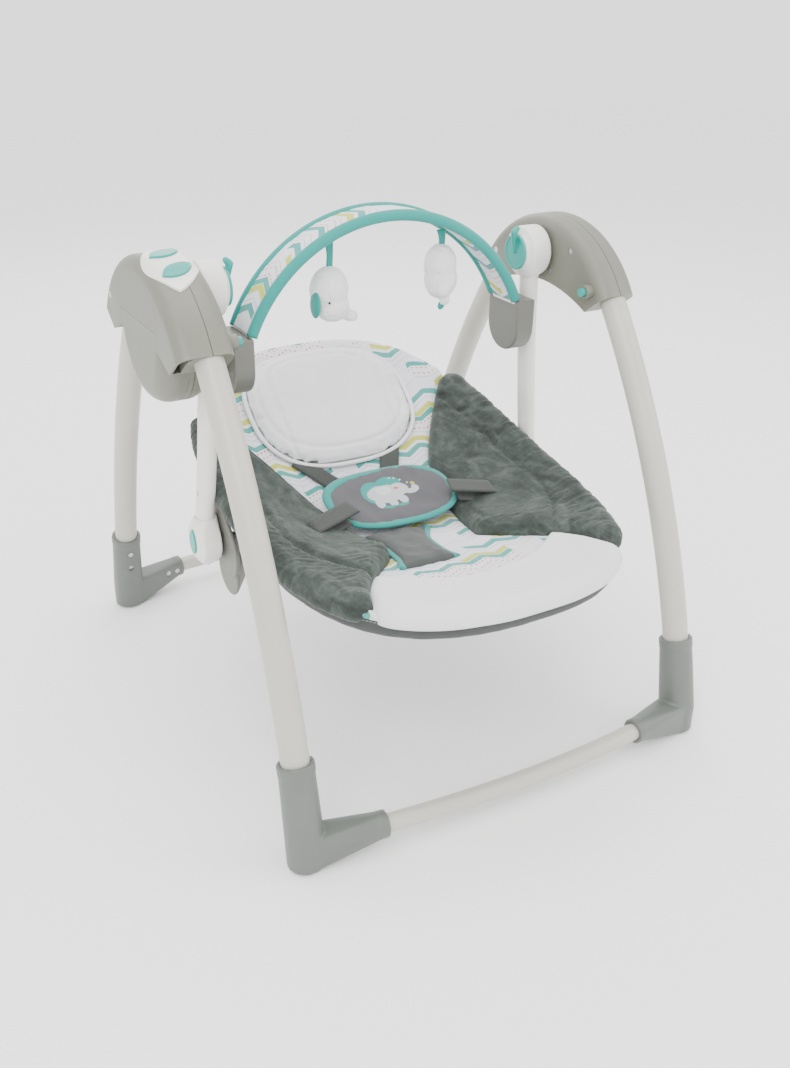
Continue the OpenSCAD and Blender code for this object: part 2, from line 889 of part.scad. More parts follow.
// Pointed oval prism along X round the seat pivot
module pivot_leaf(x0, x1, grow) {
    w = 2 * (button_hw + grow);
    l = 2 * (button_hl + grow);
    big_r = (l * l / 4 + w * w / 4) / w;
    intersection() {
        x_rod(x0, x1, pivot_y + big_r - w / 2, pivot_z, big_r, 96);
        x_rod(x0, x1, pivot_y - big_r + w / 2, pivot_z, big_r, 96);
    }
}

module casing_body() {
    difference() {
        hull() {
            x_rod(casing_x - casing_half, casing_x + casing_half - 5, pivot_y, pivot_z, 26, 32);
            x_rod(casing_x - 6, casing_x + casing_half, pivot_y, pivot_z, 19, 32);
            translate([arm_x(casing_top_z), arm_y(casing_top_z), casing_top_z - 3])
                cylinder(h = 3, r = arm_w / 2 + 0.8, $fn = 32);
            translate([casing_x - 2, pivot_y, pivot_z - 28]) sphere(r = 6, $fn = 24);
        }
        arm_sweep();
        x_rod(bracket_in_x, casing_x, pivot_y, pivot_z, pin_r);
        pivot_leaf(casing_x + casing_half - recline_depth, casing_x + casing_half + over, button_gap);
    }
}

module left_pivot_casing() { color(white) left() casing_body(); }
module right_pivot_casing() { color(white) casing_body(); }

module recline_button() {
    x1 = casing_x + casing_half;
    color(teal) {
        pivot_leaf(x1 - recline_depth + recline_travel + 0.2, x1 + 1.5, 0);
    }
}

module left_recline_button() { left() recline_button(); }
module right_recline_button() { recline_button(); }

// Steel pins: two for the toy bar and two for the seat
module hinge_pins() {
    color(steel) both_sides() {
        x_rod(socket_out_x - 7, arm_x(socket_z) + 2, bar_y, socket_z, pin_r);
        x_rod(bracket_in_x, casing_x, pivot_y, pivot_z, pin_r);
    }
}

// ---- toy bar ----
// Part of a flat ring in the XZ plane, both ends at the given angle
module arch_ring(r0, r1, w, low) {
    translate([0, bar_y, bar_arch_z]) rotate([90, 0, 0]) rotate([0, 0, low])
        rotate_extrude(angle = 180 - 2 * low, $fn = 128)
            translate([r0, -w / 2]) square([r1 - r0, w]);
}

module arch_cord(r, y, low) {
    translate([0, bar_y + y, bar_arch_z]) rotate([90, 0, 0]) rotate([0, 0, low])
        rotate_extrude(angle = 180 - 2 * low, $fn = 128)
            translate([toy_bar_r - 4, 0]) circle(r = r);
}

strip_low_angle = asin((socket_z - 22 - bar_arch_z) / strip_r);

module toy_bar_strip() {
    color(white) arch_ring(strip_r - strip_t / 2, strip_r + strip_t / 2, strip_w, strip_low_angle);
}

module toy_bar_sleeve() {
    color(teal) {
        difference() {
            union() {
                arch_ring(toy_bar_r - 7.5, toy_bar_r - 1, toy_bar_w - 2 * piping_r, sleeve_low_angle);
                for (side = [-1, 1]) arch_cord(piping_r, side * (toy_bar_w / 2 - piping_r), sleeve_low_angle);
            }
            arch_ring(strip_r - strip_t / 2, strip_r + strip_t / 2, strip_w, sleeve_low_angle - 2);
        }
        for (x = [-left_toy_x, right_toy_x]) toy_loop(x);
    }
}

// Webbing loop under the band that a toy hangs from
module toy_loop(x) {
    top = bar_arch_z + sqrt(pow(toy_bar_r - 7.5, 2) - x * x);
    lean = -asin(x / toy_bar_r);
    translate([x, bar_y - 4, top]) rotate([0, -lean, 0]) translate([-4, 0, -5]) cube([8, 8, 5.3]);
}

module bar_sockets() {
    color(clip_grey) both_sides() difference() {
        union() {
            translate([socket_in_x, bar_y - socket_hw, socket_z])
                cube([socket_out_x - socket_in_x, 2 * socket_hw, socket_up]);
            x_rod(socket_in_x, socket_out_x, bar_y, socket_z, socket_hw);
        }
        arch_ring(strip_r - strip_t / 2 - seam, strip_r + strip_t / 2 + seam, strip_w + 1, strip_low_angle - 0.3);
        x_rod(socket_out_x - 8, socket_out_x + over, bar_y, socket_z, pin_r + running);
    }
}

// Plush animal hanging on a short strap; size is its half height
function toy_hang_z(x) = bar_arch_z + sqrt(pow(toy_bar_r - 7.5, 2) - x * x) - toy_hinge_drop;

module toy_strap(x, length) {
    translate([x - 3.5, bar_y - 1.5, toy_hang_z(x) - length]) cube([7, 3, length]);
}

toy_strap_l = 28;

module left_toy() {
    x = -left_toy_x;
    z = toy_hang_z(x) - toy_strap_l;
    color(white) {
        hull() {
            translate([x, bar_y, z - 22]) sphere(r = 22, $fn = 28);
            translate([x + 2, bar_y, z - 44]) sphere(r = 19, $fn = 28);
        }
        hull() {
            translate([x + 8, bar_y, z - 40]) sphere(r = 9, $fn = 20);
            translate([x + 24, bar_y, z - 60]) sphere(r = 5, $fn = 20);
        }
        hull() {
            translate([x - 8, bar_y - 8, z - 50]) sphere(r = 7, $fn = 20);
            translate([x - 12, bar_y - 10, z - 64]) sphere(r = 6, $fn = 20);
        }
    }
    color(teal) toy_strap(x, toy_strap_l + 1);
}

module right_toy() {
    x = right_toy_x;
    z = toy_hang_z(x) - toy_strap_l + 12;
    color(white) {
        hull() {
            translate([x, bar_y, z - 22]) sphere(r = 20, $fn = 28);
            translate([x, bar_y, z - 48]) sphere(r = 18, $fn = 28);
        }
        hull() {
            translate([x - 8, bar_y - 8, z - 58]) sphere(r = 7, $fn = 20);
            translate([x - 9, bar_y - 9, z - 68]) sphere(r = 6, $fn = 20);
        }
    }
    color(teal) toy_strap(x, toy_strap_l - 8);
}

// ---- seat ----
// Point on a line from the seat's middle to its rim, at share r of the way
function plan_point(a, r) =
    let(p = rim_point(a))
    [p[0] * r, seat_mid_y + (p[1] - seat_mid_y) * r];
function on_seat(a, r, drop) =
    let(p = plan_point(a, r))
    [p[0], p[1], seat_z(p[0], p[1]) - drop];

ring_share = 0.93;
ring_drop = lining_t + 7;
ring_play = 2.6;
around = 60;

module seat_ring() {
    color(steel) loop_skin([
        for (i = [0:around - 1])
            let(a = i * 360 / around, c = on_seat(a, ring_share, ring_drop))
            let(p = rim_point(a) - [0, seat_mid_y], out = p / norm(p))
            [
                for (b = [0:45:315])
                    c + [out[0] * cos(b), out[1] * cos(b), -sin(b)] * ring_d / 2
            ]
    ]);
}

// Quilted lining: thick over the whole bowl, rounded at the rim
module seat_cushion() {
    top = [
        [0, 0], [0.25, 0], [0.5, 0], [0.7, 0], [0.85, 0], [0.93, 0], [0.97, 1.5], [0.993, 4],
        [1, 7], [0.995, lining_t - 2.5], [0.975, lining_t]
    ];
    low = [[0.85, lining_t], [0.7, lining_t], [0.5, lining_t], [0.25, lining_t], [0, lining_t]];
    color(plush) disc_skin(concat(top, low));
}

// Skin of revolution-like rings that meets its own middle at both ends
module disc_skin(section) {
    n = len(section) - 2;
    first = on_seat(0, section[0][0], section[0][1]);
    last = on_seat(0, section[n + 1][0], section[n + 1][1]);
    points = concat(
        [first, last],
        [
            for (i = [0:around - 1], k = [1:n])
                on_seat(i * 360 / around, section[k][0], section[k][1])
        ]
    );
    faces = [
        for (i = [0:around - 1])
            let(q = (i + 1) % around, a = 2 + i * n, b = 2 + q * n)
            each concat(
                [[0, a, b], [1, b + n - 1, a + n - 1]],
                [
                    for (k = [0:n - 2])
                        each [[a + k, a + k + 1, b + k + 1], [a + k, b + k + 1, b + k]]
                ]
            )
    ];
    polyhedron(points, faces);
}

sling_t = 4;

// Dark sling that wraps the ring and closes the seat from below
module under_sling() {
    gap = 1;
    groove = ring_drop + ring_d / 2 + ring_play;
    top = [
        [0, lining_t + gap], [0.25, lining_t + gap], [0.5, lining_t + gap], [0.7, lining_t + gap],
        [0.85, lining_t + gap]
    ];
    pocket = [[0.86, groove], [0.985, groove], [0.988, lining_t + 2]];
    low = [
        [0.998, lining_t + 2], [1, groove], [0.985, groove + sling_t],
        [0.86, groove + sling_t - 2], [0.8, lining_t + gap + 2 * sling_t],
        [0.6, lining_t + gap + sling_t], [0.3, lining_t + gap + sling_t], [0, lining_t + gap + sling_t]
    ];
    color([0.33, 0.34, 0.33]) disc_skin(concat(top, pocket, low));
}

bracket_in_x = seat_half_w + 1;
bracket_out_x = casing_x - casing_half - 4;

// Grey plates that carry the seat: an outer cheek, a shelf that turns in
// under the rim, and a post that meets the sling below the seat ring
module seat_brackets() {
    post_x = bracket_in_x - 9;
    post_y = -14;
    post_r = 5;
    shelf_z = pivot_z - 36;
    sling_z = seat_z(post_x - post_r, post_y - post_r) - ring_drop - ring_d / 2 - ring_play - sling_t;
    color(clip_grey) both_sides() difference() {
        union() {
            hull() {
                x_rod(bracket_in_x, bracket_out_x, -18, pivot_z - 8, 34, 32);
                x_rod(bracket_in_x, bracket_out_x, pivot_y, pivot_z + 44, 9, 32);
            }
            hull() {
                x_rod(bracket_in_x, bracket_out_x - 2, -16, shelf_z, 30, 32);
                x_rod(bracket_in_x - 17, bracket_in_x - 12, post_y, shelf_z + 4, 14, 32);
            }
            translate([post_x, post_y, shelf_z]) cylinder(h = sling_z - seam - shelf_z, r = post_r);
        }
        x_rod(bracket_in_x - over, bracket_out_x + over, pivot_y, pivot_z, pin_r + running);
    }
}

// Pad that follows the seat's surface between two side limits, which are
// functions of y. Its edges are thinner than its middle.
module surface_pad(y0, y1, x_low, x_high, lift, thick, nx = 8, ny = 14, tilt = 0) {
    function px(i, j) = let(y = y0 + (y1 - y0) * j / ny)
        x_low(y) + (x_high(y) - x_low(y)) * i / nx;
    function crown(i, j) = 0.35 + 0.65 * pow(sin(180 * i / nx) * sin(180 * j / ny), 0.35);
    function spot(i, j, up) =
        let(y = y0 + (y1 - y0) * j / ny, x = px(i, j))
        [x, y, seat_z(x, y) + lift + tilt * (y - y0) + up * thick * crown(i, j)];
    rings = [
        for (j = [0:ny])
            concat([for (i = [0:nx]) spot(i, j, 1)], [for (i = [nx:-1:0]) spot(i, j, 0)])
    ];
    skin(rings);
}

skin_gap = 1.9;
wing_t = 17;
panel_pad_t = 9;
// Where the wings' inner edge turns outwards along the foot panel
wing_toe_y = -132;
wing_foot_y = -262;
foot_seam = 5;

// Inner edge of a wing: it widens towards the head end, and towards the foot
// end it turns out to the rim
function wing_inner(y) =
    y > 0 ? 85 + 72 * pow(y / 126, 1.6)
    : y > wing_toe_y ? 85 + 0.2 * y
    : 58.6 + 97 * (1 - exp(-pow((wing_toe_y - y) / 75, 1.6)));

module wing_pads() {
    color(plush) both_sides()
        surface_pad(
            wing_foot_y, 146, function(y) min(wing_inner(y), 0.95 * half_width(y)),
            function(y) 0.965 * half_width(y), skin_gap, wing_t, 8, 20
        );
}

// Half width of the foot panel, which fills the room between the wings
function panel_half(y) =
    y > wing_foot_y - foot_seam ? wing_inner(y) - foot_seam : 0.955 * half_width(y);

module foot_panel() {
    color(white) surface_pad(
        -seat_foot_y + 9, wing_toe_y - 76, function(y) -panel_half(y),
        function(y) panel_half(y), skin_gap, panel_pad_t, 10, 12
    );
}

// Superellipse half width of a small pad
function pad_half(y, mid, half_l, half_w, n) =
    half_w * pow(max(1 - pow(abs(y - mid) / half_l, n), 0.04), 1 / n);

pillow_mid = 144;
pillow_hl = 71;
pillow_hw = 112;
pillow_t = 20;

module head_pillow() {
    w = function(y) pad_half(y, pillow_mid, pillow_hl, pillow_hw, 3);
    color(white) surface_pad(
        pillow_mid - pillow_hl, pillow_mid + pillow_hl, function(y) -w(y), w,
        8, pillow_t, 12, 12
    );
}

waist_mid = -30;
waist_hl = 48;
waist_hw = 78;
waist_lift = 16;
waist_tilt = 0.2;

module waist_pad() {
    w = function(y) pad_half(y, waist_mid, waist_hl, waist_hw, 2.4);
    color(webbing) surface_pad(
        waist_mid - waist_hl, waist_mid + waist_hl, function(y) -w(y), w,
        waist_lift, 8, 12, 10, waist_tilt
    );
}

// Middle line and half width of the strap between the legs, which flares at
// both ends
function crotch_x(y) = -22 + (y + 85) / 7;
function crotch_half(y) =
    28 + 14 * pow(max(0, min(1, (y + 130) / 45)), 2) + 8 * pow(max(0, (-155 - y) / 35), 2);

module crotch_strap() {
    color(webbing) surface_pad(
        -188, waist_mid - waist_hl + 12, function(y) crotch_x(y) - crotch_half(y),
        function(y) crotch_x(y) + crotch_half(y), skin_gap, 11, 8, 10
    );
}

module harness_buckle() {
    y = waist_mid + 2;
    z = seat_z(0, y) + 5;
    color(clip_grey) {
        translate([-22, y - 16, z]) cube([44, 32, 7]);
        translate([-9, y - 11, z + 7]) cube([18, 22, 1.5]);
    }
}

strap_t = 2.4;

// Shoulder straps run from the backrest down to the waist pad, waist straps
// from the wings to it
module harness_straps() {
    color(webbing) both_sides() {
        surface_pad(
            46, 92, function(y) 1.15 * (y - 46) + 5, function(y) 1.15 * (y - 46) + 41,
            4.2, strap_t, 2, 5
        );
        surface_pad(
            -66, -42, function(y) waist_hw + 1, function(y) waist_hw + 27,
            wing_t + 7, strap_t, 4, 3
        );
    }
}

// ---- what is shown ----
front_left_leg();
front_right_leg();
front_left_foot();
front_right_foot();
front_base_bar();
front_foot_screws();
motor_housing_outer();
motor_housing_inner();
battery_door();
batteries();
control_panel();
circuit_board();
speaker();
drive_coil();
plain_housing_outer();
plain_housing_inner();
housing_screws();
axle_bushes();
fold_pins();
rear_left_leg();
rear_right_leg();
rear_left_foot();
rear_right_foot();
rear_base_bar();
rear_foot_screws();
leg_knuckles();
left_arm();
right_arm();
hub_caps();
swing_axles();
magnet_lever();
drive_magnet();
left_pivot_casing();
right_pivot_casing();
hinge_pins();
arm_screws();
toy_bar_strip();
toy_bar_sleeve();
bar_sockets();
left_toy();
right_toy();
seat_ring();
seat_brackets();
seat_cushion();
under_sling();
wing_pads();
foot_panel();
head_pillow();
waist_pad();
crotch_strap();
harness_straps();
harness_buckle();
left_recline_button();
right_recline_button();
left_fold_button();
right_fold_button();
power_button();
music_button();
left_fold_spring();
right_fold_spring();
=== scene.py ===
import json
import math

import bpy
import numpy as np
from mathutils import Matrix, Vector, noise


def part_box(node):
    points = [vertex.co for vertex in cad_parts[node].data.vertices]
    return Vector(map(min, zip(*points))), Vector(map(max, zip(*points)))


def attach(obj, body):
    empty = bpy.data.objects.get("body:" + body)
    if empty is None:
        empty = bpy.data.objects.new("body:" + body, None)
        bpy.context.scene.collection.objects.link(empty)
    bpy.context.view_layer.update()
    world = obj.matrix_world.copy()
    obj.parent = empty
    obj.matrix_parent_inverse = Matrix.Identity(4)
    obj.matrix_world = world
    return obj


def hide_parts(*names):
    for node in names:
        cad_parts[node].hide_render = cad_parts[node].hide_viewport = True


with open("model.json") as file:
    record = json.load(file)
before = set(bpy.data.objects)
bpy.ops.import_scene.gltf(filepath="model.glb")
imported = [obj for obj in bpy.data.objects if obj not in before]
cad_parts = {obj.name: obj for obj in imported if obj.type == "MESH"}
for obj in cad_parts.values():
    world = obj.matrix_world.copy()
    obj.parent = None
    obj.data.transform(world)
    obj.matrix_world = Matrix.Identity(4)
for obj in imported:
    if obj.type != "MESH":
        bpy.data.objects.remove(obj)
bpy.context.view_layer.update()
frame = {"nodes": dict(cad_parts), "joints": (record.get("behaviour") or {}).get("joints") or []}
scene = bpy.context.scene
print("frame loaded")

# camera
view = {"azimuth": -29.32, "elevation": 26.61, "roll": 0.575, "distance": 1.4083,
        "aim": (0.0235, 0.0, 0.18175), "lens": 36.97, "sensor": 36.0}


def makeCamera(v):
    a, e = math.radians(v["azimuth"]), math.radians(v["elevation"])
    back = Vector((math.sin(a) * math.cos(e), -math.cos(a) * math.cos(e), math.sin(e)))
    data = bpy.data.cameras.new("camera")
    data.sensor_fit = "VERTICAL"
    data.sensor_height = v["sensor"]
    data.lens = v["lens"]
    data.clip_end = 30
    camera = bpy.data.objects.new("camera", data)
    turn = back.to_track_quat("Z", "Y").to_matrix()
    turn = turn @ Matrix.Rotation(math.radians(v["roll"]), 3, "Z")
    camera.matrix_world = Matrix.Translation(Vector(v["aim"]) + back * v["distance"]) @ turn.to_4x4()
    scene.collection.objects.link(camera)
    scene.camera = camera


makeCamera(view)

# small helpers for node trees


def wire(tree, socket, value):
    if isinstance(value, bpy.types.NodeSocket):
        tree.links.new(value, socket)
    elif value is not None:
        socket.default_value = value


def addNode(tree, kind, inputs=None, **settings):
    made = tree.nodes.new(kind)
    for key, value in settings.items():
        setattr(made, key, value)
    for key, value in (inputs or {}).items():
        wire(tree, made.inputs[key], value)
    return made


def calc(tree, operation, *values):
    made = addNode(tree, "ShaderNodeMath", operation=operation)
    for i, value in enumerate(values):
        wire(tree, made.inputs[i], value)
    return made.outputs[0]


def mixColour(tree, share, a, b, blend="MIX"):
    made = addNode(tree, "ShaderNodeMix", data_type="RGBA", blend_type=blend)
    wire(tree, made.inputs[0], share)
    wire(tree, made.inputs[6], a)
    wire(tree, made.inputs[7], b)
    return made.outputs[2]


def startMaterial(name, roughness, **more):
    material = bpy.data.materials.new(name)
    material.use_nodes = True
    tree = material.node_tree
    surface = tree.nodes["Principled BSDF"]
    surface.inputs["Roughness"].default_value = roughness
    for key, value in more.items():
        surface.inputs[key].default_value = value
    return material, tree, surface


def place(tree):
    return tree.nodes.new("ShaderNodeTexCoord").outputs["Object"]


def noiseAt(tree, where, scale, detail=3.0, rough=0.55, distortion=0.0):
    return addNode(tree, "ShaderNodeTexNoise", {"Vector": where, "Scale": scale, "Detail": detail,
                                                "Roughness": rough, "Distortion": distortion}).outputs["Fac"]


def ramp(tree, value, low, high, a=0.0, b=1.0):
    return addNode(tree, "ShaderNodeMapRange", {"Value": value, "From Min": low, "From Max": high,
                                                "To Min": a, "To Max": b}).outputs[0]


def bumpFrom(tree, surface, height, distance, strength=1.0):
    made = addNode(tree, "ShaderNodeBump", {"Height": height, "Distance": distance, "Strength": strength})
    tree.links.new(made.outputs[0], surface.inputs["Normal"])


def shade(colour, amount):
    return tuple(min(1.0, c * amount) for c in colour[:3]) + (1.0,)


# plastics, paint and metal
plastics = {
    "shell": {"colour": (0.160, 0.160, 0.128), "roughness": 0.42, "grain": 0.00005},
    "foot": {"colour": (0.120, 0.134, 0.118), "roughness": 0.40, "grain": 0.00005},
    "clip": {"colour": (0.130, 0.130, 0.112), "roughness": 0.38, "grain": 0.00004},
    "white": {"colour": (0.78, 0.765, 0.72), "roughness": 0.30, "grain": 0.00002},
    "teal": {"colour": (0.001, 0.29, 0.245), "roughness": 0.28, "grain": 0.00002},
    "speaker": {"colour": (0.02, 0.02, 0.02), "roughness": 0.6, "grain": 0.00008},
    "wrap": {"colour": (0.03, 0.10, 0.07), "roughness": 0.35, "grain": 0.00002},
    "board": {"colour": (0.01, 0.12, 0.05), "roughness": 0.35, "grain": 0.00002},
    "eye": {"colour": (0.01, 0.01, 0.01), "roughness": 0.2, "grain": 0.00001},
}


def plasticMaterial(name, v, seamX=None):
    # moulded plastic: slight cloudiness, fine grain, and a painted highlight on convex edges
    material, tree, surface = startMaterial(name, v["roughness"])
    where = place(tree)
    cloud = noiseAt(tree, where, 14, 3)
    colour = mixColour(tree, ramp(tree, cloud, 0.3, 0.7), shade(v["colour"], 0.95), shade(v["colour"], 1.05))
    # painted highlight: convex edges are lightened in the base colour
    edgeHighlight = addNode(tree, "ShaderNodeNewGeometry").outputs["Pointiness"]
    colour = mixColour(tree, ramp(tree, edgeHighlight, 0.52, 0.62, 0, 0.35), colour, shade(v["colour"], 1.35))
    grain = noiseAt(tree, where, 1900, 2)
    height = grain
    if seamX is not None:
        x = addNode(tree, "ShaderNodeSeparateXYZ", {"Vector": where}).outputs[0]
        line = calc(tree, "COMPARE", calc(tree, "ABSOLUTE", x), seamX, 0.0005)
        colour = mixColour(tree, line, colour, shade(v["colour"], 0.35))
        height = calc(tree, "SUBTRACT", grain, calc(tree, "MULTIPLY", line, 6.0))
    tree.links.new(colour, surface.inputs["Base Color"])
    tree.links.new(ramp(tree, cloud, 0.2, 0.8, v["roughness"] - 0.04, v["roughness"] + 0.06),
                   surface.inputs["Roughness"])
    bumpFrom(tree, surface, height, v["grain"])
    return material


paint = {"colour": (0.47, 0.455, 0.395), "roughness": 0.36, "peel": 0.00006}


def paintMaterial(name, v):
    # powder coat: orange peel and a faint cloudiness
    material, tree, surface = startMaterial(name, v["roughness"])
    surface.inputs["Coat Weight"].default_value = 0.15
    surface.inputs["Coat Roughness"].default_value = 0.25
    where = place(tree)
    cloud = noiseAt(tree, where, 9, 2)
    colour = mixColour(tree, ramp(tree, cloud, 0.3, 0.7), shade(v["colour"], 0.97), shade(v["colour"], 1.03))
    tree.links.new(colour, surface.inputs["Base Color"])
    peel = noiseAt(tree, where, 700, 2)
    tree.links.new(ramp(tree, peel, 0.2, 0.8, v["roughness"] - 0.03, v["roughness"] + 0.05),
                   surface.inputs["Roughness"])
    bumpFrom(tree, surface, peel, v["peel"])
    return material


metals = {"steel": {"colour": (0.55, 0.55, 0.56), "roughness": 0.32},
          "ringSteel": {"colour": (0.05, 0.05, 0.05), "roughness": 0.5},
          "copper": {"colour": (0.75, 0.33, 0.14), "roughness": 0.3},
          "magnet": {"colour": (0.42, 0.42, 0.44), "roughness": 0.25}}


def metalMaterial(name, v):
    material, tree, surface = startMaterial(name, v["roughness"], Metallic=1.0)
    where = place(tree)
    brushed = addNode(tree, "ShaderNodeMapping", {"Vector": where, "Scale": (40, 900, 900)}).outputs[0]
    streak = noiseAt(tree, brushed, 1.0, 2)
    tone = mixColour(tree, ramp(tree, streak, 0.3, 0.7), shade(v["colour"], 0.88), shade(v["colour"], 1.1))
    tree.links.new(tone,
                   surface.inputs["Base Color"])
    tree.links.new(ramp(tree, streak, 0.2, 0.8, v["roughness"] - 0.08, v["roughness"] + 0.1),
                   surface.inputs["Roughness"])
    bumpFrom(tree, surface, streak, 0.00003)
    return material


# fabrics
fabricRows = {
    "panel": ((0.80, 0.80, 0.83), 0.92, 0.0011, 0.00016, 0.12),
    "pillow": ((0.82, 0.82, 0.85), 0.92, 0.0014, 0.00018, 0.12),
    "waist": ((0.080, 0.079, 0.088), 0.75, 0.0008, 0.0001, 0.15),
    "crotch": ((0.052, 0.060, 0.055), 0.8, 0.0008, 0.0001, 0.15),
    "sling": ((0.050, 0.054, 0.053), 0.85, 0.0009, 0.00012, 0.1),
    "webbing": ((0.048, 0.054, 0.048), 0.8, 0.0016, 0.00022, 0.1),
    "binding": ((0.001, 0.27, 0.235), 0.75, 0.0008, 0.0001, 0.2),
    "whiteBinding": ((0.84, 0.84, 0.86), 0.85, 0.0008, 0.0001, 0.1),
    "thread": ((0.30, 0.32, 0.31), 0.7, 0.0004, 0.00004, 0.1),
}
fabrics = {key: dict(zip(("colour", "roughness", "thread", "depth", "sheen"), row))
           for key, row in fabricRows.items()}


def weave(tree, where, thread):
    # two crossed sets of threads, uneven as yarn is
    turn = 2 * math.pi / thread / 2
    wobble = calc(tree, "MULTIPLY", noiseAt(tree, where, 60, 2), 6.0)
    xyz = addNode(tree, "ShaderNodeSeparateXYZ", {"Vector": where}).outputs
    warp = calc(tree, "SINE", calc(tree, "ADD", calc(tree, "MULTIPLY", xyz[0], turn), wobble))
    along = calc(tree, "ADD", xyz[1], xyz[2])
    weft = calc(tree, "SINE", calc(tree, "ADD", calc(tree, "MULTIPLY", along, turn), wobble))
    return calc(tree, "MULTIPLY", warp, weft)


def fabricMaterial(name, v, colourOf=None):
    material, tree, surface = startMaterial(name, v["roughness"])
    surface.inputs["Sheen Weight"].default_value = v["sheen"]
    surface.inputs["Sheen Roughness"].default_value = 0.5
    where = place(tree)
    cloth = weave(tree, where, v["thread"])
    cloud = noiseAt(tree, where, 22, 4)
    base = colourOf(tree, where) if colourOf else shade(v["colour"], 1.0)
    base = mixColour(tree, ramp(tree, cloud, 0.3, 0.75, 0, 0.16), base, shade(v["colour"], 0.72))
    # painted shade: the weave's low threads, where the bump dips, are darkened
    base = mixColour(tree, ramp(tree, cloth, -1, 1, 0.14, 0.0), base, shade(v["colour"], 0.5))
    tree.links.new(base, surface.inputs["Base Color"])
    bumpFrom(tree, surface, calc(tree, "ADD", cloth, calc(tree, "MULTIPLY", noiseAt(tree, where, 240, 3), 1.5)),
             v["depth"])
    return material


velour = {"dark": (0.014, 0.019, 0.016), "mid": (0.036, 0.047, 0.040), "sheenLight": (0.078, 0.094, 0.083)}


def velourMaterial(name, v):
    # crushed pile: soft clouds where the nap lies over, the lightest painted as sheen, streaked along the folds
    material, tree, surface = startMaterial(name, 0.88)
    surface.inputs["Sheen Weight"].default_value = 0.30
    surface.inputs["Sheen Roughness"].default_value = 0.35
    surface.inputs["Sheen Tint"].default_value = (0.62, 0.72, 0.66, 1)
    where = place(tree)
    long = addNode(tree, "ShaderNodeMapping", {"Vector": where, "Scale": (1.0, 0.55, 1.5)}).outputs[0]
    nap = noiseAt(tree, long, 26, 5, 0.62, 1.6)
    small = noiseAt(tree, where, 120, 3, 0.6, 0.8)
    value = calc(tree, "ADD", calc(tree, "MULTIPLY", nap, 0.75), calc(tree, "MULTIPLY", small, 0.25))
    low = mixColour(tree, ramp(tree, value, 0.34, 0.5), v["dark"] + (1,), v["mid"] + (1,))
    # painted sheen: the lightest nap clouds stand in for light caught by the crushed pile
    full = mixColour(tree, ramp(tree, value, 0.5, 0.68), low, v["sheenLight"] + (1,))
    tree.links.new(full, surface.inputs["Base Color"])
    pile = noiseAt(tree, where, 1500, 2)
    bumpFrom(tree, surface, calc(tree, "ADD", pile, calc(tree, "MULTIPLY", value, 8.0)), 0.00022)
    return material


plushToy = {"colour": (0.80, 0.82, 0.79)}


def plushMaterial(name, v):
    material, tree, surface = startMaterial(name, 0.95)
    surface.inputs["Sheen Weight"].default_value = 0.5
    surface.inputs["Sheen Roughness"].default_value = 0.5
    where = place(tree)
    tuft = noiseAt(tree, where, 330, 4, 0.7, 0.6)
    tone = mixColour(tree, ramp(tree, tuft, 0.3, 0.7), shade(v["colour"], 0.86), shade(v["colour"], 1.04))
    tree.links.new(tone,
                   surface.inputs["Base Color"])
    bumpFrom(tree, surface, tuft, 0.0011)
    return material


zigzag = {"ground": (0.78, 0.775, 0.82), "teal": (0.001, 0.30, 0.265), "lime": (0.52, 0.54, 0.02),
          "orange": (0.62, 0.13, 0.05), "lilac": (0.52, 0.52, 0.60),
          "period": 0.084, "wave": 0.040, "rise": 0.50}


def zigzagPrint(tree, u, v, p):
    # rows of zigzags across the cloth: broken teal and lime rows, dotted orange ones, thin grey lines
    zig = calc(tree, "MULTIPLY", calc(tree, "PINGPONG", u, p["wave"] / 2), p["rise"])
    run = calc(tree, "ADD", v, zig)
    step = calc(tree, "WRAP", run, p["period"], 0.0)
    row = calc(tree, "FLOOR", calc(tree, "DIVIDE", run, p["period"]))
    shift = calc(tree, "WRAP", calc(tree, "ADD", u, calc(tree, "MULTIPLY", row, 0.061)), 0.17, 0.0)

    def stripe(centre, half):
        return calc(tree, "COMPARE", step, centre, half)

    def within(low, high):
        return calc(tree, "COMPARE", shift, (low + high) / 2, (high - low) / 2)

    bead = calc(tree, "SUBTRACT", calc(tree, "WRAP", u, 0.0058, 0.0), 0.0029)
    colour = p["ground"] + (1,)
    for centre in (0.006, 0.042, 0.081):
        colour = mixColour(tree, stripe(centre, 0.0007), colour, p["lilac"] + (1,))
    for centre in (0.049, 0.059):
        off = calc(tree, "SUBTRACT", step, centre)
        dot = calc(tree, "LESS_THAN", calc(tree, "ADD", calc(tree, "MULTIPLY", bead, bead),
                                           calc(tree, "MULTIPLY", off, off)), 0.0014 ** 2)
        colour = mixColour(tree, calc(tree, "MULTIPLY", dot, within(0.02, 0.15)), colour, p["orange"] + (1,))
    lime = calc(tree, "MULTIPLY", stripe(0.030, 0.0044), within(0.045, 0.120))
    colour = mixColour(tree, lime, colour, p["lime"] + (1,))
    lime = calc(tree, "MULTIPLY", stripe(0.076, 0.0040), within(0.085, 0.15))
    colour = mixColour(tree, lime, colour, p["lime"] + (1,))
    teal = calc(tree, "MULTIPLY", stripe(0.016, 0.0046), within(0.0, 0.135))
    colour = mixColour(tree, teal, colour, p["teal"] + (1,))
    teal = calc(tree, "MULTIPLY", stripe(0.067, 0.0042), within(0.02, 0.150))
    return mixColour(tree, teal, colour, p["teal"] + (1,))


def printOnSeat(tree, where):
    xyz = addNode(tree, "ShaderNodeSeparateXYZ", {"Vector": where}).outputs
    along = calc(tree, "ADD", xyz[1], calc(tree, "MULTIPLY", xyz[2], 0.45))
    return zigzagPrint(tree, calc(tree, "ADD", xyz[0], 0.5), calc(tree, "ADD", along, 1.0), zigzag)


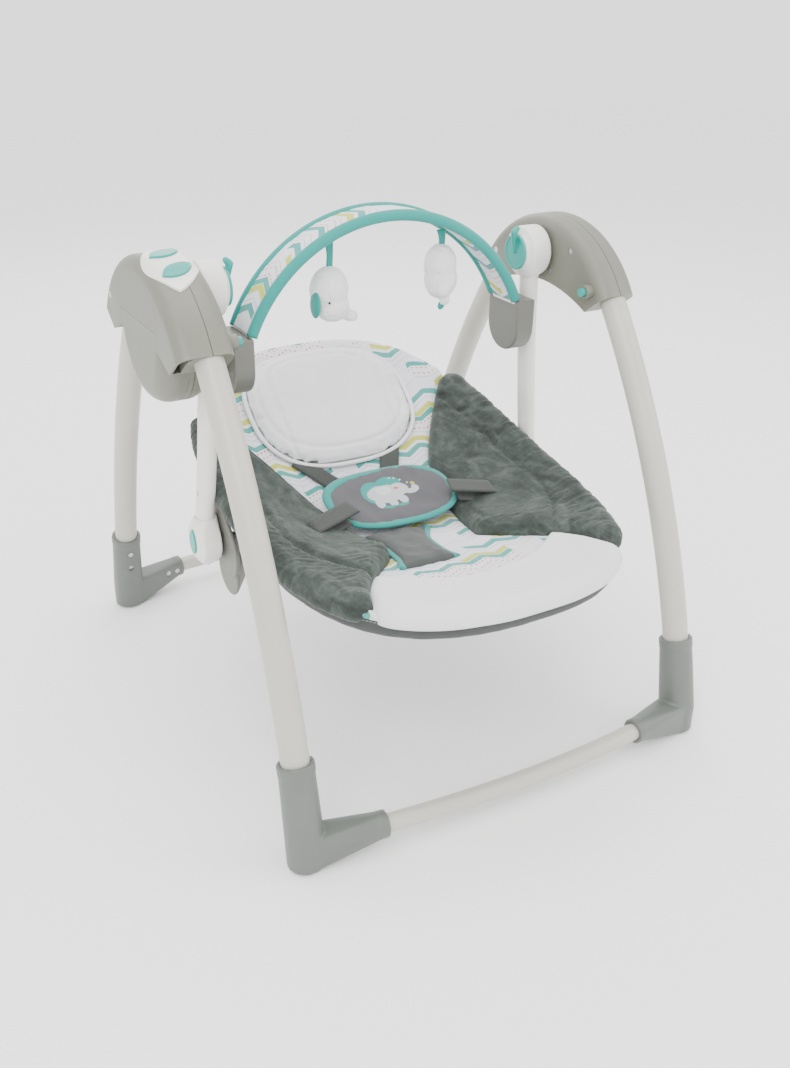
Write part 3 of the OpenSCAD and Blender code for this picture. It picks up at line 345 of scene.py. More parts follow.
def printOnBand(tree, where):
    uv = addNode(tree, "ShaderNodeSeparateXYZ",
                 {"Vector": tree.nodes.new("ShaderNodeTexCoord").outputs["UV"]}).outputs
    return zigzagPrint(tree, uv[1], uv[0], zigzag)


materials = {key: plasticMaterial(key, v) for key, v in plastics.items()}
materials["shellSeamed"] = plasticMaterial("shellSeamed", plastics["shell"],
                                           seamX=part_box("plain_housing_outer")[0].x)
materials["paint"] = paintMaterial("paint", paint)
materials.update({key: metalMaterial(key, v) for key, v in metals.items()})
materials.update({key: fabricMaterial(key, v) for key, v in fabrics.items()})
materials["velour"] = velourMaterial("velour", velour)
materials["plushToy"] = plushMaterial("plushToy", plushToy)
materials["printed"] = fabricMaterial("printed", fabrics["panel"], printOnSeat)
materials["bandPrint"] = fabricMaterial("bandPrint", fabrics["panel"], printOnBand)
print("materials made")

# finish of each CAD node that stays in sight
nodeFinish = {
    "paint": ["front_left_leg", "front_right_leg", "rear_left_leg", "rear_right_leg",
              "front_base_bar", "rear_base_bar"],
    "shellSeamed": ["motor_housing_outer", "motor_housing_inner", "plain_housing_outer",
                    "plain_housing_inner"],
    "shell": ["battery_door"],
    "foot": [],
    "clip": ["leg_knuckles", "harness_buckle"],
    "white": ["control_panel", "axle_bushes", "magnet_lever", "toy_bar_strip"],
    "teal": ["left_recline_button", "right_recline_button", "left_fold_button", "right_fold_button",
             "power_button", "music_button"],
    "steel": ["front_foot_screws", "rear_foot_screws", "housing_screws", "arm_screws", "fold_pins",
              "hinge_pins", "swing_axles", "left_fold_spring", "right_fold_spring"],
    "ringSteel": ["seat_ring"], "copper": ["drive_coil"], "magnet": ["drive_magnet"],
    "wrap": ["batteries"], "board": ["circuit_board"], "speaker": ["speaker"],
}
for key, names in nodeFinish.items():
    for name in names:
        mesh = frame["nodes"][name].data
        mesh.materials.clear()
        mesh.materials.append(materials[key])


# small helpers for meshes
def linkMesh(name, mesh, material, smooth=True):
    piece = bpy.data.objects.new(name, mesh)
    scene.collection.objects.link(piece)
    mesh.materials.clear()
    mesh.materials.append(materials[material])
    if smooth:
        mesh.shade_smooth()
    return piece


def meshFrom(name, points, faces, material, smooth=True):
    mesh = bpy.data.meshes.new(name)
    mesh.from_pydata([tuple(p) for p in points], [], [tuple(f) for f in faces])
    mesh.update()
    return linkMesh(name, mesh, material, smooth)


def coordsOf(mesh):
    co = np.zeros(len(mesh.vertices) * 3)
    mesh.vertices.foreach_get("co", co)
    return co.reshape(-1, 3)


def normalsOf(mesh):
    co = np.zeros(len(mesh.vertices) * 3)
    mesh.vertices.foreach_get("normal", co)
    return co.reshape(-1, 3)


def moveTo(mesh, co):
    mesh.vertices.foreach_set("co", np.asarray(co, float).ravel())
    mesh.update()


def bake(piece):
    # turns a piece's modifiers into its plain mesh
    shown = piece.evaluated_get(bpy.context.evaluated_depsgraph_get())
    made = bpy.data.meshes.new_from_object(shown)
    piece.modifiers.clear()
    piece.data = made
    return piece


def outward(piece):
    import bmesh
    bm = bmesh.new()
    bm.from_mesh(piece.data)
    bmesh.ops.remove_doubles(bm, verts=bm.verts, dist=1e-6)
    bmesh.ops.recalc_face_normals(bm, faces=bm.faces)
    bm.to_mesh(piece.data)
    bm.free()
    piece.data.update()
    return piece


def remeshed(piece, voxel, rounds, material=None):
    modifier = piece.modifiers.new("remesh", "REMESH")
    modifier.mode = "VOXEL"
    modifier.voxel_size = voxel
    if rounds:
        easing = piece.modifiers.new("ease", "SMOOTH")
        easing.factor = 0.5
        easing.iterations = rounds
    bake(piece)
    if material:
        piece.data.materials.clear()
        piece.data.materials.append(materials[material])
    piece.data.shade_smooth()
    return piece


def softened(node, name, material, body, voxel, rounds):
    # a moulded part with its edges eased, from a merged copy of the CAD node
    copy = bpy.data.objects.new(name, frame["nodes"][node].data.copy())
    scene.collection.objects.link(copy)
    outward(copy)
    remeshed(copy, voxel, rounds, material)
    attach(copy, body)
    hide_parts(node)
    return copy


def finishPiece(piece, body, replaced=()):
    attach(piece, body)
    if replaced:
        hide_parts(*replaced)
    return piece


def puff(piece, v):
    # swells a closed pad like a stuffed one, and keeps it near its start
    remeshed(piece, v["voxel"], 0)
    start = coordsOf(piece.data)
    cloth = piece.modifiers.new("cloth", "CLOTH")
    cloth.settings.use_pressure = True
    cloth.settings.uniform_pressure_force = v["pressure"]
    cloth.settings.effector_weights.gravity = 0
    cloth.settings.quality = 5
    cloth.point_cache.frame_start = 1
    cloth.point_cache.frame_end = v["frames"]
    for f in range(1, v["frames"] + 1):
        scene.frame_set(f)
    shown = piece.evaluated_get(bpy.context.evaluated_depsgraph_get())
    moved = coordsOf(shown.data) - start
    piece.modifiers.remove(cloth)
    scene.frame_set(1)
    reach = np.linalg.norm(moved, axis=1, keepdims=True)
    moved *= np.minimum(1, v["cap"] / np.maximum(reach, 1e-9))
    moveTo(piece.data, start + moved)
    easing = piece.modifiers.new("ease", "SUBSURF")
    easing.levels = easing.render_levels = 1
    bake(piece)
    piece.data.shade_smooth()
    return piece


def tubeAlong(name, path, radius, material, sides=12, closed=False, flat=1.0, up=None):
    # a round or flattened tube along a path; flat squeezes it along up
    path = [Vector(p) for p in path]
    n = len(path)
    points, faces = [], []
    for i, p in enumerate(path):
        ahead = path[(i + 1) % n] if closed else path[min(i + 1, n - 1)]
        behind = path[i - 1] if closed or i else path[0]
        along = (ahead - behind).normalized()
        lift = Vector(up[i] if up is not None else (0, 0, 1))
        side = along.cross(lift).normalized()
        lift = side.cross(along).normalized()
        r = radius[i] if hasattr(radius, "__len__") else radius
        for k in range(sides):
            a = 2 * math.pi * k / sides
            points.append(p + side * (math.cos(a) * r) + lift * (math.sin(a) * r * flat))
    for i in range(n if closed else n - 1):
        q = (i + 1) % n
        for k in range(sides):
            m = (k + 1) % sides
            faces.append((i * sides + k, i * sides + m, q * sides + m, q * sides + k))
    if not closed:
        faces.append(tuple(range(sides))[::-1])
        faces.append(tuple((n - 1) * sides + k for k in range(sides)))
    return outward(meshFrom(name, points, faces, material))


def band(name, centre, across, out, width, thick, material, rows=7):
    # a flat strap: centre line, direction across it and direction out of it at each point
    n = len(centre)
    points, faces = [], []
    for i in range(n):
        c, s, o = Vector(centre[i]), Vector(across[i]), Vector(out[i])
        w = width[i] if hasattr(width, "__len__") else width
        for k in range(rows):
            points.append(c + s * (w * (k / (rows - 1) - 0.5)) + o * thick / 2)
        for k in range(rows - 1, -1, -1):
            points.append(c + s * (w * (k / (rows - 1) - 0.5)) - o * thick / 2)
    ring = 2 * rows
    for i in range(n - 1):
        for k in range(ring):
            m = (k + 1) % ring
            faces.append((i * ring + k, i * ring + m, (i + 1) * ring + m, (i + 1) * ring + k))
    faces.append(tuple(range(ring))[::-1])
    faces.append(tuple((n - 1) * ring + k for k in range(ring)))
    return outward(meshFrom(name, points, faces, material))


def joined(name, pieces):
    # several meshes of one material as one piece
    points, faces = [], []
    for piece in pieces:
        base = len(points)
        points += [v.co.copy() for v in piece.data.vertices]
        faces += [tuple(base + i for i in f.vertices) for f in piece.data.polygons]
    material = pieces[0].data.materials[0]
    for piece in pieces:
        bpy.data.objects.remove(piece)
    made = meshFrom(name, points, faces, material.name)
    return made


# stitches: a geometry nodes tree that walks along a line
def stitchTree():
    tree = bpy.data.node_groups.new("stitchRow", "GeometryNodeTree")
    face = tree.interface
    face.new_socket("Geometry", in_out="INPUT", socket_type="NodeSocketGeometry")
    for label in ("Spacing", "Stitch Length", "Thread Radius"):
        face.new_socket(label, in_out="INPUT", socket_type="NodeSocketFloat")
    face.new_socket("Thread", in_out="INPUT", socket_type="NodeSocketMaterial")
    face.new_socket("Geometry", in_out="OUTPUT", socket_type="NodeSocketGeometry")
    source = tree.nodes.new("NodeGroupInput")
    curve = addNode(tree, "GeometryNodeMeshToCurve", {"Mesh": source.outputs[0]})
    walk = addNode(tree, "GeometryNodeResampleCurve", {"Curve": curve.outputs[0]}, mode="LENGTH")
    tree.links.new(source.outputs["Spacing"], walk.inputs["Length"])
    thread = addNode(tree, "GeometryNodeMeshCylinder", {"Vertices": 6,
                                                        "Radius": source.outputs["Thread Radius"],
                                                        "Depth": source.outputs["Stitch Length"]})
    tangent = tree.nodes.new("GeometryNodeInputTangent")
    turn = addNode(tree, "FunctionNodeAlignRotationToVector", {"Vector": tangent.outputs[0]}, axis="Z")
    copies = addNode(tree, "GeometryNodeInstanceOnPoints", {"Points": walk.outputs[0],
                                                            "Instance": thread.outputs[0],
                                                            "Rotation": turn.outputs[0]})
    real = addNode(tree, "GeometryNodeRealizeInstances", {"Geometry": copies.outputs[0]})
    dressed = addNode(tree, "GeometryNodeSetMaterial", {"Geometry": real.outputs[0],
                                                        "Material": source.outputs["Thread"]})
    sink = tree.nodes.new("NodeGroupOutput")
    tree.links.new(dressed.outputs[0], sink.inputs[0])
    return tree


stitches = {"tree": stitchTree(), "spacing": 0.0042, "length": 0.0028, "radius": 0.00042}


def stitchLine(name, lines, material, body, v=stitches):
    points, edges = [], []
    for line in lines:
        base = len(points)
        points += [tuple(p) for p in line]
        edges += [(base + i, base + i + 1) for i in range(len(line) - 1)]
    mesh = bpy.data.meshes.new(name)
    mesh.from_pydata(points, edges, [])
    piece = bpy.data.objects.new(name, mesh)
    scene.collection.objects.link(piece)
    modifier = piece.modifiers.new("stitches", "NODES")
    modifier.node_group = v["tree"]
    values = {"Spacing": v["spacing"], "Stitch Length": v["length"], "Thread Radius": v["radius"],
              "Thread": materials[material]}
    for item in v["tree"].interface.items_tree:
        if item.item_type == "SOCKET" and item.in_out == "INPUT" and item.name in values:
            modifier[item.identifier] = values[item.name]
    bake(piece)
    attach(piece, body)
    return piece


# seat surface, shared by everything soft
cushionLow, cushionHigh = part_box("seat_cushion")
seat = {"halfWidth": cushionHigh.x, "head": cushionHigh.y, "foot": -cushionLow.y,
        "rimLow": 0.256, "rimHead": 0.377, "footLift": 0.008, "lowReach": 0.200, "depth": 0.064,
        "depthAt": 0.020, "depthRun": 0.190, "bowl": 2.6, "footPower": 2.5, "headPower": 2.9,
        "rings": 110, "around": 420, "edgeShare": 0.952, "edgeTip": 0.994, "edge": 0.0066,
        "edgeRows": 14, "edgeTurn": math.radians(165)}
seatMid = (seat["head"] - seat["foot"]) / 2
seatHalf = (seat["head"] + seat["foot"]) / 2
lowY = seatMid - seat["lowReach"]


def rimZ(y):
    run = y - lowY
    head = seat["rimLow"] + (seat["rimHead"] - seat["rimLow"]) * (run / (seat["head"] - lowY)) ** 2
    foot = seat["rimLow"] + seat["footLift"] * (run / (seat["foot"] + lowY)) ** 2
    return np.where(run > 0, head, foot)


def lengthShare(y):
    return np.clip(np.abs(y - seatMid) / seatHalf, 0, 1)


def powerAt(y):
    return np.where(y < seatMid, seat["footPower"], seat["headPower"])


def halfWidth(y):
    n = powerAt(y)
    return seat["halfWidth"] * np.maximum(1 - lengthShare(y) ** n, 0) ** (1 / n)


def shareAt(x, y):
    n = powerAt(y)
    return ((np.abs(x) / seat["halfWidth"]) ** n + lengthShare(y) ** n) ** (1 / n)


def xAtShare(s, y):
    n = powerAt(y)
    return seat["halfWidth"] * np.maximum(s ** n - lengthShare(y) ** n, 0) ** (1 / n)


def seatZ(x, y):
    depth = seat["depth"] * np.exp(-((y - seat["depthAt"]) / seat["depthRun"]) ** 2) * (1 - lengthShare(y) ** 6)
    w = np.maximum(halfWidth(y), 0.001)
    return rimZ(y) - depth * (1 - np.clip(np.abs(x) / w, 0, 1) ** seat["bowl"])


def seatUp(x, y, h=0.001):
    # unit normal of the seat's surface
    up = Vector((float(seatZ(x - h, y) - seatZ(x + h, y)), float(seatZ(x, y - h) - seatZ(x, y + h)), 2 * h))
    return up.normalized()


def rimPoint(a):
    n = np.where(np.cos(a) > 0, seat["footPower"], seat["headPower"])
    r = 1 / (np.abs(np.cos(a)) ** n + np.abs(np.sin(a)) ** n) ** (1 / n)
    return seat["halfWidth"] * r * np.sin(a), -seatHalf * r * np.cos(a)


# inner edge of a wing as a distance from the middle, and the seam across the foot end
seams = {"waist": 0.085, "headSpread": 0.072, "headReach": 0.126, "hipSlope": 0.2, "toe": -0.132,
         "toeHalf": 0.0586, "toeSpread": 0.097, "toeRun": 0.075, "toePower": 1.6,
         "footSeam": -0.250, "footCurve": 0.050, "footHalf": 0.117,
         "quiltShare": 0.862, "quiltDrop": 0.145, "quiltFrom": -0.095, "quiltRun": 0.104}


def wingInner(y):
    head = seams["waist"] + seams["headSpread"] * (np.maximum(y, 0) / seams["headReach"]) ** 1.6
    hip = seams["waist"] + seams["hipSlope"] * y
    run = np.maximum(seams["toe"] - y, 0) / seams["toeRun"]
    toe = seams["toeHalf"] + seams["toeSpread"] * (1 - np.exp(-run ** seams["toePower"]))
    return np.where(y > 0, head, np.where(y > seams["toe"], hip, toe))


def footSeamY(x):
    return seams["footSeam"] + seams["footCurve"] * (np.abs(x) / seams["footHalf"]) ** 2


def quiltShare(y):
    drop = np.clip((seams["quiltFrom"] - y) / seams["quiltRun"], 0, 1.15) ** 1.5
    return seams["quiltShare"] - seams["quiltDrop"] * drop


def wrinkles(points, scale, seed, stretch=(1, 1, 1)):
    flat = points.reshape(-1, 3) * np.array(stretch) * scale + np.array((seed * 7.3, seed * 3.1, seed * 1.7))
    return np.array([noise.noise(Vector(p)) for p in flat]).reshape(points.shape[:-1])


def ridged(points, scale, seed, stretch=(1, 1, 1)):
    return 1 - 2 * np.abs(wrinkles(points, scale, seed, stretch))


def rounded(d, run):
    d = np.clip(d / run, 0, 1)
    return np.sqrt(1 - (1 - d) ** 2)


def edgeBend():
    # rows that carry a cover round the rim and under it: share of the way out, drop and angle turned
    bend = np.linspace(0, seat["edgeTurn"], seat["edgeRows"] + 1)[1:]
    share = seat["edgeShare"] + (seat["edgeTip"] - seat["edgeShare"]) * np.sin(bend)
    return share, seat["edge"] * (1 - np.cos(bend)), bend


def fadeAt(turn, low=0.24):
    return low + (1 - low) * (0.5 + 0.5 * np.cos(np.minimum(turn * 1.1, math.pi)))


def gridNormals(p, closed):
    along = np.gradient(p, axis=0)
    around = (np.roll(p, -1, axis=1) - np.roll(p, 1, axis=1)) if closed else np.gradient(p, axis=1)
    n = np.cross(along, around)
    n /= np.maximum(np.linalg.norm(n, axis=2, keepdims=True), 1e-12)
    return n


def slab(name, top, bottom, material):
    # closed pad between two grids of points
    rows, cols = top.shape[:2]
    points = [p for r in top for p in r] + [p for r in bottom for p in r]
    o = rows * cols
    faces = []
    for i in range(rows - 1):
        for j in range(cols - 1):
            a, b = i * cols + j, (i + 1) * cols + j
            faces += [(a, a + 1, b + 1, b), (o + a, o + b, o + b + 1, o + a + 1)]
    loop = ([(0, j) for j in range(cols)] + [(i, cols - 1) for i in range(1, rows)]
            + [(rows - 1, j) for j in range(cols - 2, -1, -1)] + [(i, 0) for i in range(rows - 2, 0, -1)])
    ids = [i * cols + j for i, j in loop]
    faces += [(a, o + a, o + b, b) for a, b in zip(ids, ids[1:] + ids[:1])]
    return outward(meshFrom(name, points, faces, material))


def closeBowl(name, top, low, material):
    # closed dish: top grid out over the rim, then flat rings of low back to the middle
    rows, cols = top.shape[:2]
    points = [top[0, 0]] + [top[i, j] for i in range(1, rows) for j in range(cols)]
    faces = [(0, 1 + j, 1 + (j + 1) % cols) for j in range(cols)]
    at = lambda i, j: 1 + (i - 1) * cols + j % cols
    for i in range(1, rows - 1):
        faces += [(at(i, j), at(i + 1, j), at(i + 1, j + 1), at(i, j + 1)) for j in range(cols)]
    last = [at(rows - 1, j) for j in range(cols)]
    for i in [int(k) for k in np.linspace(seat["rings"] - 6, 6, 10)]:
        start = len(points)
        points += [low[i, j] for j in range(cols)]
        ring = [start + j for j in range(cols)]
        faces += [(last[j], ring[j], ring[(j + 1) % cols], last[(j + 1) % cols]) for j in range(cols)]
        last = ring
    points.append(low[0, 0])
    faces += [(last[j], len(points) - 1, last[(j + 1) % cols]) for j in range(cols)]
    return outward(meshFrom(name, points, faces, material))


lining = {"puff": 0.0035, "run": 0.016, "under": -0.0035, "thick": 0.012, "soft": 0.0016, "crease": 0.0010}


def makeLining(v):
    edgeS, edgeD, edgeT = edgeBend()
    t = np.linspace(0, 1, seat["rings"]) * seat["edgeShare"]
    share = np.concatenate([t, edgeS])[:, None]
    px, py = rimPoint(np.linspace(0, 2 * math.pi, seat["around"], endpoint=False))
    x, y = share * px[None], seatMid + share * py[None]
    drop = np.concatenate([t * 0, edgeD])[:, None] + 0 * x
    turn = np.concatenate([t * 0, edgeT])[:, None] + 0 * x
    base = np.stack([x, y, seatZ(x, y) - drop], -1)
    normal = gridNormals(base, True)
    normal[0] = (0, 0, 1)
    normal = np.where(normal[20:21, :, 2:3] < 0, -normal, normal)
    inside = np.minimum(wingInner(y) - np.abs(x), y - footSeamY(x))
    soft = wrinkles(base, 24, 5)
    crease = ridged(base, 42, 11, (1.3, 0.8, 1)) ** 3
    rub = (v["soft"] * soft - v["crease"] * crease) * rounded(inside, 0.01)
    height = v["puff"] * rounded(inside, v["run"]) + rub
    hidden = np.clip(-inside / 0.003, 0, 1)
    height = (height + v["under"] * hidden) * fadeAt(turn)
    low = base.copy()
    low[..., 2] = seatZ(x, y) - v["thick"]
    piece = closeBowl("seatLining", base + normal * height[..., None], low, "printed")
    finishPiece(piece, "seat", ["seat_cushion"])


makeLining(lining)

wing = {"thick": 0.0175, "run": 0.017, "rows": 210, "cols": 50, "tuck": 0.004, "gather": 0.0024, "soft": 0.0016,
        "groove": 0.0050, "grooveWidth": 0.0034, "foldAt": 0.013, "fold": 0.0016}


def makeWing(name, side, v):
    edgeS, edgeD, edgeT = edgeBend()
    y = np.linspace(-0.32, 0.20, 1200)
    y = y[shareAt(wingInner(y), y) < seat["edgeShare"] - 0.004]
    y = np.linspace(y.min(), y.max(), v["rows"])[:, None]
    start, end = wingInner(y), xAtShare(seat["edgeShare"], y)
    t = np.linspace(0, 1, v["cols"])[None, :] ** 1.6
    x = np.concatenate([start - v["tuck"], start + (end - start) * t, xAtShare(edgeS[None, :], y)], axis=1)
    yy = y + 0 * x
    drop = np.concatenate([0 * start, 0 * t + 0 * y, edgeD[None, :] + 0 * y], axis=1)
    turn = np.concatenate([0 * start, 0 * t + 0 * y, edgeT[None, :] + 0 * y], axis=1)
    base = np.stack([x * side, yy, seatZ(x, yy) - drop], -1)
    normal = gridNormals(base, False)
    normal = np.where(normal[100:101, 10:11, 2:3] < 0, -normal, normal)
    slope = (wingInner(yy + 0.001) - wingInner(yy - 0.001)) / 0.002
    d = (x - wingInner(yy)) / np.sqrt(1 + slope ** 2)
    s = shareAt(x, yy)
    gap = (s - quiltShare(yy)) * np.maximum(halfWidth(yy), 0.05)
    groove = np.exp(-(gap / v["grooveWidth"]) ** 2) * rounded(d, 0.014) * (turn == 0)
    outer = 1 / (1 + np.exp(-gap / 0.0035))
    folds = ridged(base, 62, 3 + side, (0.45, 1.7, 0.5))
    fineFolds = ridged(base, 125, 6 + side, (0.5, 1.5, 0.6))
    toe = np.exp(-np.maximum(d, 0) / 0.03) * (yy < seams["toe"] + 0.02)
    puckers = np.exp(-np.abs(gap) / 0.010) * 0.8
    ruck = (0.7 * folds + 0.45 * fineFolds) * np.maximum(np.maximum(outer * 1.1, toe * 1.5), puckers)
    innerFold = np.exp(-((d - v["foldAt"]) / 0.003) ** 2) * (yy > seams["toe"])
    height = v["thick"] * rounded(d, v["run"]) * (1 - 0.25 * outer)
    height += (v["gather"] * ruck + v["soft"] * wrinkles(base, 24, 5 + side)
               + 0.5 * v["soft"] * wrinkles(base, 60, 9 + side)) * rounded(d, 0.01)
    height -= v["groove"] * groove + v["fold"] * innerFold
    height = np.where(d < 0, -0.0045, height * fadeAt(turn, 0.3) + 0.0008)
    ends = np.minimum(np.arange(v["rows"]), np.arange(v["rows"])[::-1])[:, None] / 7.0
    height = np.where(d < 0, height, -0.002 + (height + 0.002) * rounded(np.clip(ends, 0, 1), 1.0))
    bottom = base - normal * np.where(turn > 0, 0.0012, 0.0055)[..., None]
    piece = slab(name, base + normal * height[..., None], bottom, "velour")
    finishPiece(piece, "seat", ["wing_pads"])


makeWing("leftWing", -1, wing)
makeWing("rightWing", 1, wing)

footPad = {"thick": 0.0095, "run": 0.013, "cols": 120, "rows": 60, "over": 1.045, "pleat": 0.0013,
           "soft": 0.0012}


def makeFootPad(v):
    edgeS, edgeD, edgeT = edgeBend()
    q = np.linspace(-v["over"], v["over"], v["cols"])[None, :]

    def solve(test):
        # y along each column where test changes sign, found by halving
        far, near = np.full_like(q, -seat["foot"] + 1e-4), np.full_like(q, -0.150)
        for step in range(40):
            mid = (far + near) / 2
            hit = test(q * wingInner(mid), mid)
            far, near = np.where(hit, mid, far), np.where(hit, near, mid)
        return (far + near) / 2

    top = solve(lambda x, y: y < footSeamY(np.minimum(np.abs(x), seams["footHalf"])) + 0.004)
    end = solve(lambda x, y: shareAt(x, y) > seat["edgeShare"])
    t = np.linspace(0, 1, v["rows"])[:, None] ** 1.4
    y = np.concatenate([top + (end - top) * t]
                       + [solve(lambda x, y, s=s: shareAt(x, y) > s) for s in edgeS], axis=0)
    x = q * wingInner(y)
    drop = np.concatenate([0 * t, edgeD[:, None]], axis=0) + 0 * x
    turn = np.concatenate([0 * t, edgeT[:, None]], axis=0) + 0 * x
    base = np.stack([x, y, seatZ(x, y) - drop], -1)
    normal = gridNormals(base, False)
    normal = np.where(normal[20:21, 60:61, 2:3] < 0, -normal, normal)
    dTop = footSeamY(x) - y
    dSide = (v["over"] - np.abs(q) - (v["over"] - 1)) * wingInner(y) * 0.8
    inside = np.minimum(dTop, dSide)
    pleats = ridged(base, 75, 15, (1.5, 0.4, 1)) * np.exp(-np.maximum(dTop, 0) / 0.018)
    height = v["thick"] * rounded(inside, v["run"])
    height += (v["pleat"] * pleats + v["soft"] * wrinkles(base, 26, 12)) * rounded(inside, 0.008)
    height = np.where(inside < 0, -0.0045, height * fadeAt(turn, 0.3) + 0.0006)
    bottom = base - normal * np.where(turn > 0, 0.0012, 0.0055)[..., None]
    piece = slab("footPanel", base + normal * height[..., None], bottom, "panel")
    finishPiece(piece, "seat", ["foot_panel"])


makeFootPad(footPad)
print("seat cover made")

# dark sling that shows as a band below the cover
sling = {"profile": [(0.972, 0.0085), (0.984, 0.0118), (0.9885, 0.0150), (0.9885, 0.0190), (0.984, 0.0235),
                     (0.970, 0.0272), (0.94, 0.0290), (0.90, 0.0285), (0.86, 0.0255), (0.80, 0.0210),
                     (0.6, 0.0190), (0.45, 0.0185), (0.3, 0.0185), (0.12, 0.0185)],
         "thick": 0.003, "around": 240, "stitchAt": 0.0002}


def makeSling(v):
    px, py = rimPoint(np.linspace(0, 2 * math.pi, v["around"], endpoint=False))
    surface = lambda s: seatZ(px * min(s, 0.995), seatMid + py * min(s, 0.995))
    outer = np.array([np.stack([px * s, seatMid + py * s, surface(s) - d], -1) for s, d in v["profile"]])
    normal = gridNormals(outer, True)
    ripple = ridged(outer, 45, 21, (1, 1, 0.4))
    outer = outer - normal * (0.0005 * ripple)[..., None]
    down = np.where(normal[-3:-2, :, 2:3] > 0, -normal, normal)
    innerRows = outer - down * v["thick"]
    cols, rowsN = v["around"], len(v["profile"])
    points = [p for r in outer for p in r] + [p for r in innerRows for p in r]
    o, faces = rowsN * cols, []
    for j in range(cols):
        k = (j + 1) % cols
        for i in range(rowsN - 1):
            faces.append((i * cols + j, i * cols + k, (i + 1) * cols + k, (i + 1) * cols + j))
            faces.append((o + i * cols + j, o + (i + 1) * cols + j, o + (i + 1) * cols + k, o + i * cols + k))
        faces.append((j, o + j, o + k, k))
    last = (rowsN - 1) * cols
    faces.append(tuple(last + j for j in range(cols)))
    faces.append(tuple(o + last + j for j in range(cols))[::-1])
    piece = outward(meshFrom("seatSling", points, faces, "sling"))
    finishPiece(piece, "seat", ["under_sling"])
    rim = [outer[1, j % cols] + down[1, j % cols] * v["stitchAt"] for j in range(cols + 1)]
    stitchLine("slingStitches", [rim], "thread", "seat")


makeSling(sling)


# pads on the seat
def padSurface(x, y, height):
    return np.stack([x, y, seatZ(x, y) + height], -1)


def discPad(name, v, material, thickness, under):
    # superellipse pad with a rounded edge; thickness and under are heights over the seat
    rings, around = v["rings"], v["around"]
    t = np.linspace(0, 1, rings)
    share = np.sin(t * math.pi / 2)
    a = np.linspace(0, 2 * math.pi, around, endpoint=False)
    n = v["power"]
    r = 1 / (np.abs(np.cos(a)) ** n + np.abs(np.sin(a)) ** n) ** (1 / n)
    x = v["x"] + share[:, None] * v["halfX"] * (r * np.sin(a))[None]
    y = v["y"] + share[:, None] * v["halfY"] * (r * np.cos(a))[None]
    s = share[:, None] + 0 * x
    top = padSurface(x, y, under(x, y) + thickness(x, y, s))
    low = padSurface(x, y, under(x, y))
    points = [top[0, 0]] + [top[i, j] for i in range(1, rings) for j in range(around)]
    at = lambda i, j: 1 + (i - 1) * around + j % around
    faces = [(0, at(1, j + 1), at(1, j)) for j in range(around)]
    for i in range(1, rings - 1):
        faces += [(at(i, j), at(i, j + 1), at(i + 1, j + 1), at(i + 1, j)) for j in range(around)]
    last = [at(rings - 1, j) for j in range(around)]
    for i in range(rings - 2, 0, -2):
        start = len(points)
        points += [low[i, j] for j in range(around)]
        ring = [start + j for j in range(around)]
        faces += [(last[j], last[(j + 1) % around], ring[(j + 1) % around], ring[j]) for j in range(around)]
        last = ring
    points.append(low[0, 0])
    faces += [(last[j], last[(j + 1) % around], len(points) - 1) for j in range(around)]
    piece = outward(meshFrom(name, points, faces, material))
    edge = padSurface(x[-1], y[-1], under(x[-1], y[-1]) + thickness(x[-1], y[-1], s[-1]) * 0.5)
    return piece, edge


pillow = {"x": 0.004, "y": 0.144, "halfX": 0.113, "halfY": 0.071, "power": 2.7, "rings": 44, "around": 160,
          "lift": 0.007, "thick": 0.021, "border": 0.86, "binding": 0.0032,
          "sim": {"voxel": 0.0045, "pressure": 3.0, "frames": 14, "cap": 0.004},
          "panelHalfX": 0.077, "panelTop": 0.050, "panelLow": -0.058}


def makePillow(v):
    under = lambda x, y: v["lift"] + 0 * x
    crown = lambda x, y, s: 0.003 + (v["thick"] - 0.003) * np.clip(1 - s ** 3.4, 0, 1) ** 0.62
    piece, edge = discPad("headPillow", v, "pillow", crown, under)
    puff(piece, v["sim"])
    co, n = coordsOf(piece.data), normalsOf(piece.data)
    x, y = co[:, 0] - v["x"], co[:, 1] - v["y"]
    power = v["power"]
    s = ((np.abs(x) / v["halfX"]) ** power + (np.abs(y) / v["halfY"]) ** power) ** (1 / power)
    px, py = x / v["panelHalfX"], (y - 0.004) / v["panelTop"]
    arch = (np.abs(px) ** 3.0 + np.maximum(py, 0) ** 3.0) ** (1 / 3.0)
    gap = (arch - 1) * 0.055
    groove = np.exp(-(gap / 0.0022) ** 2) * (y > v["panelLow"])
    rim = np.exp(-((s - v["border"]) * 0.09 / 0.0022) ** 2)
    upper = n[:, 2] > 0.2
    pucker = ridged(co, 95, 14) * np.exp(-np.abs(gap) / 0.010)
    pucker = pucker + ridged(co, 70, 17) * np.clip((s - 0.62) * 2.4, 0, 1)
    move = -(0.0040 * groove + 0.0022 * rim) * upper
    move = move + (0.0010 * pucker + 0.0011 * wrinkles(co, 30, 6)) * upper
    moveTo(piece.data, co + n * move[:, None])
    finishPiece(piece, "seat", ["head_pillow"])
    trim = tubeAlong("pillowBinding", edge, v["binding"], "whiteBinding", closed=True, flat=0.8)
    finishPiece(trim, "seat")


makePillow(pillow)

waist = {"x": 0.000, "y": -0.030, "halfX": 0.079, "halfY": 0.047, "power": 2.7, "rings": 30, "around": 140,
         "lift": 0.016, "tilt": 0.2, "lowY": -0.078, "thick": 0.008, "binding": 0.0068}


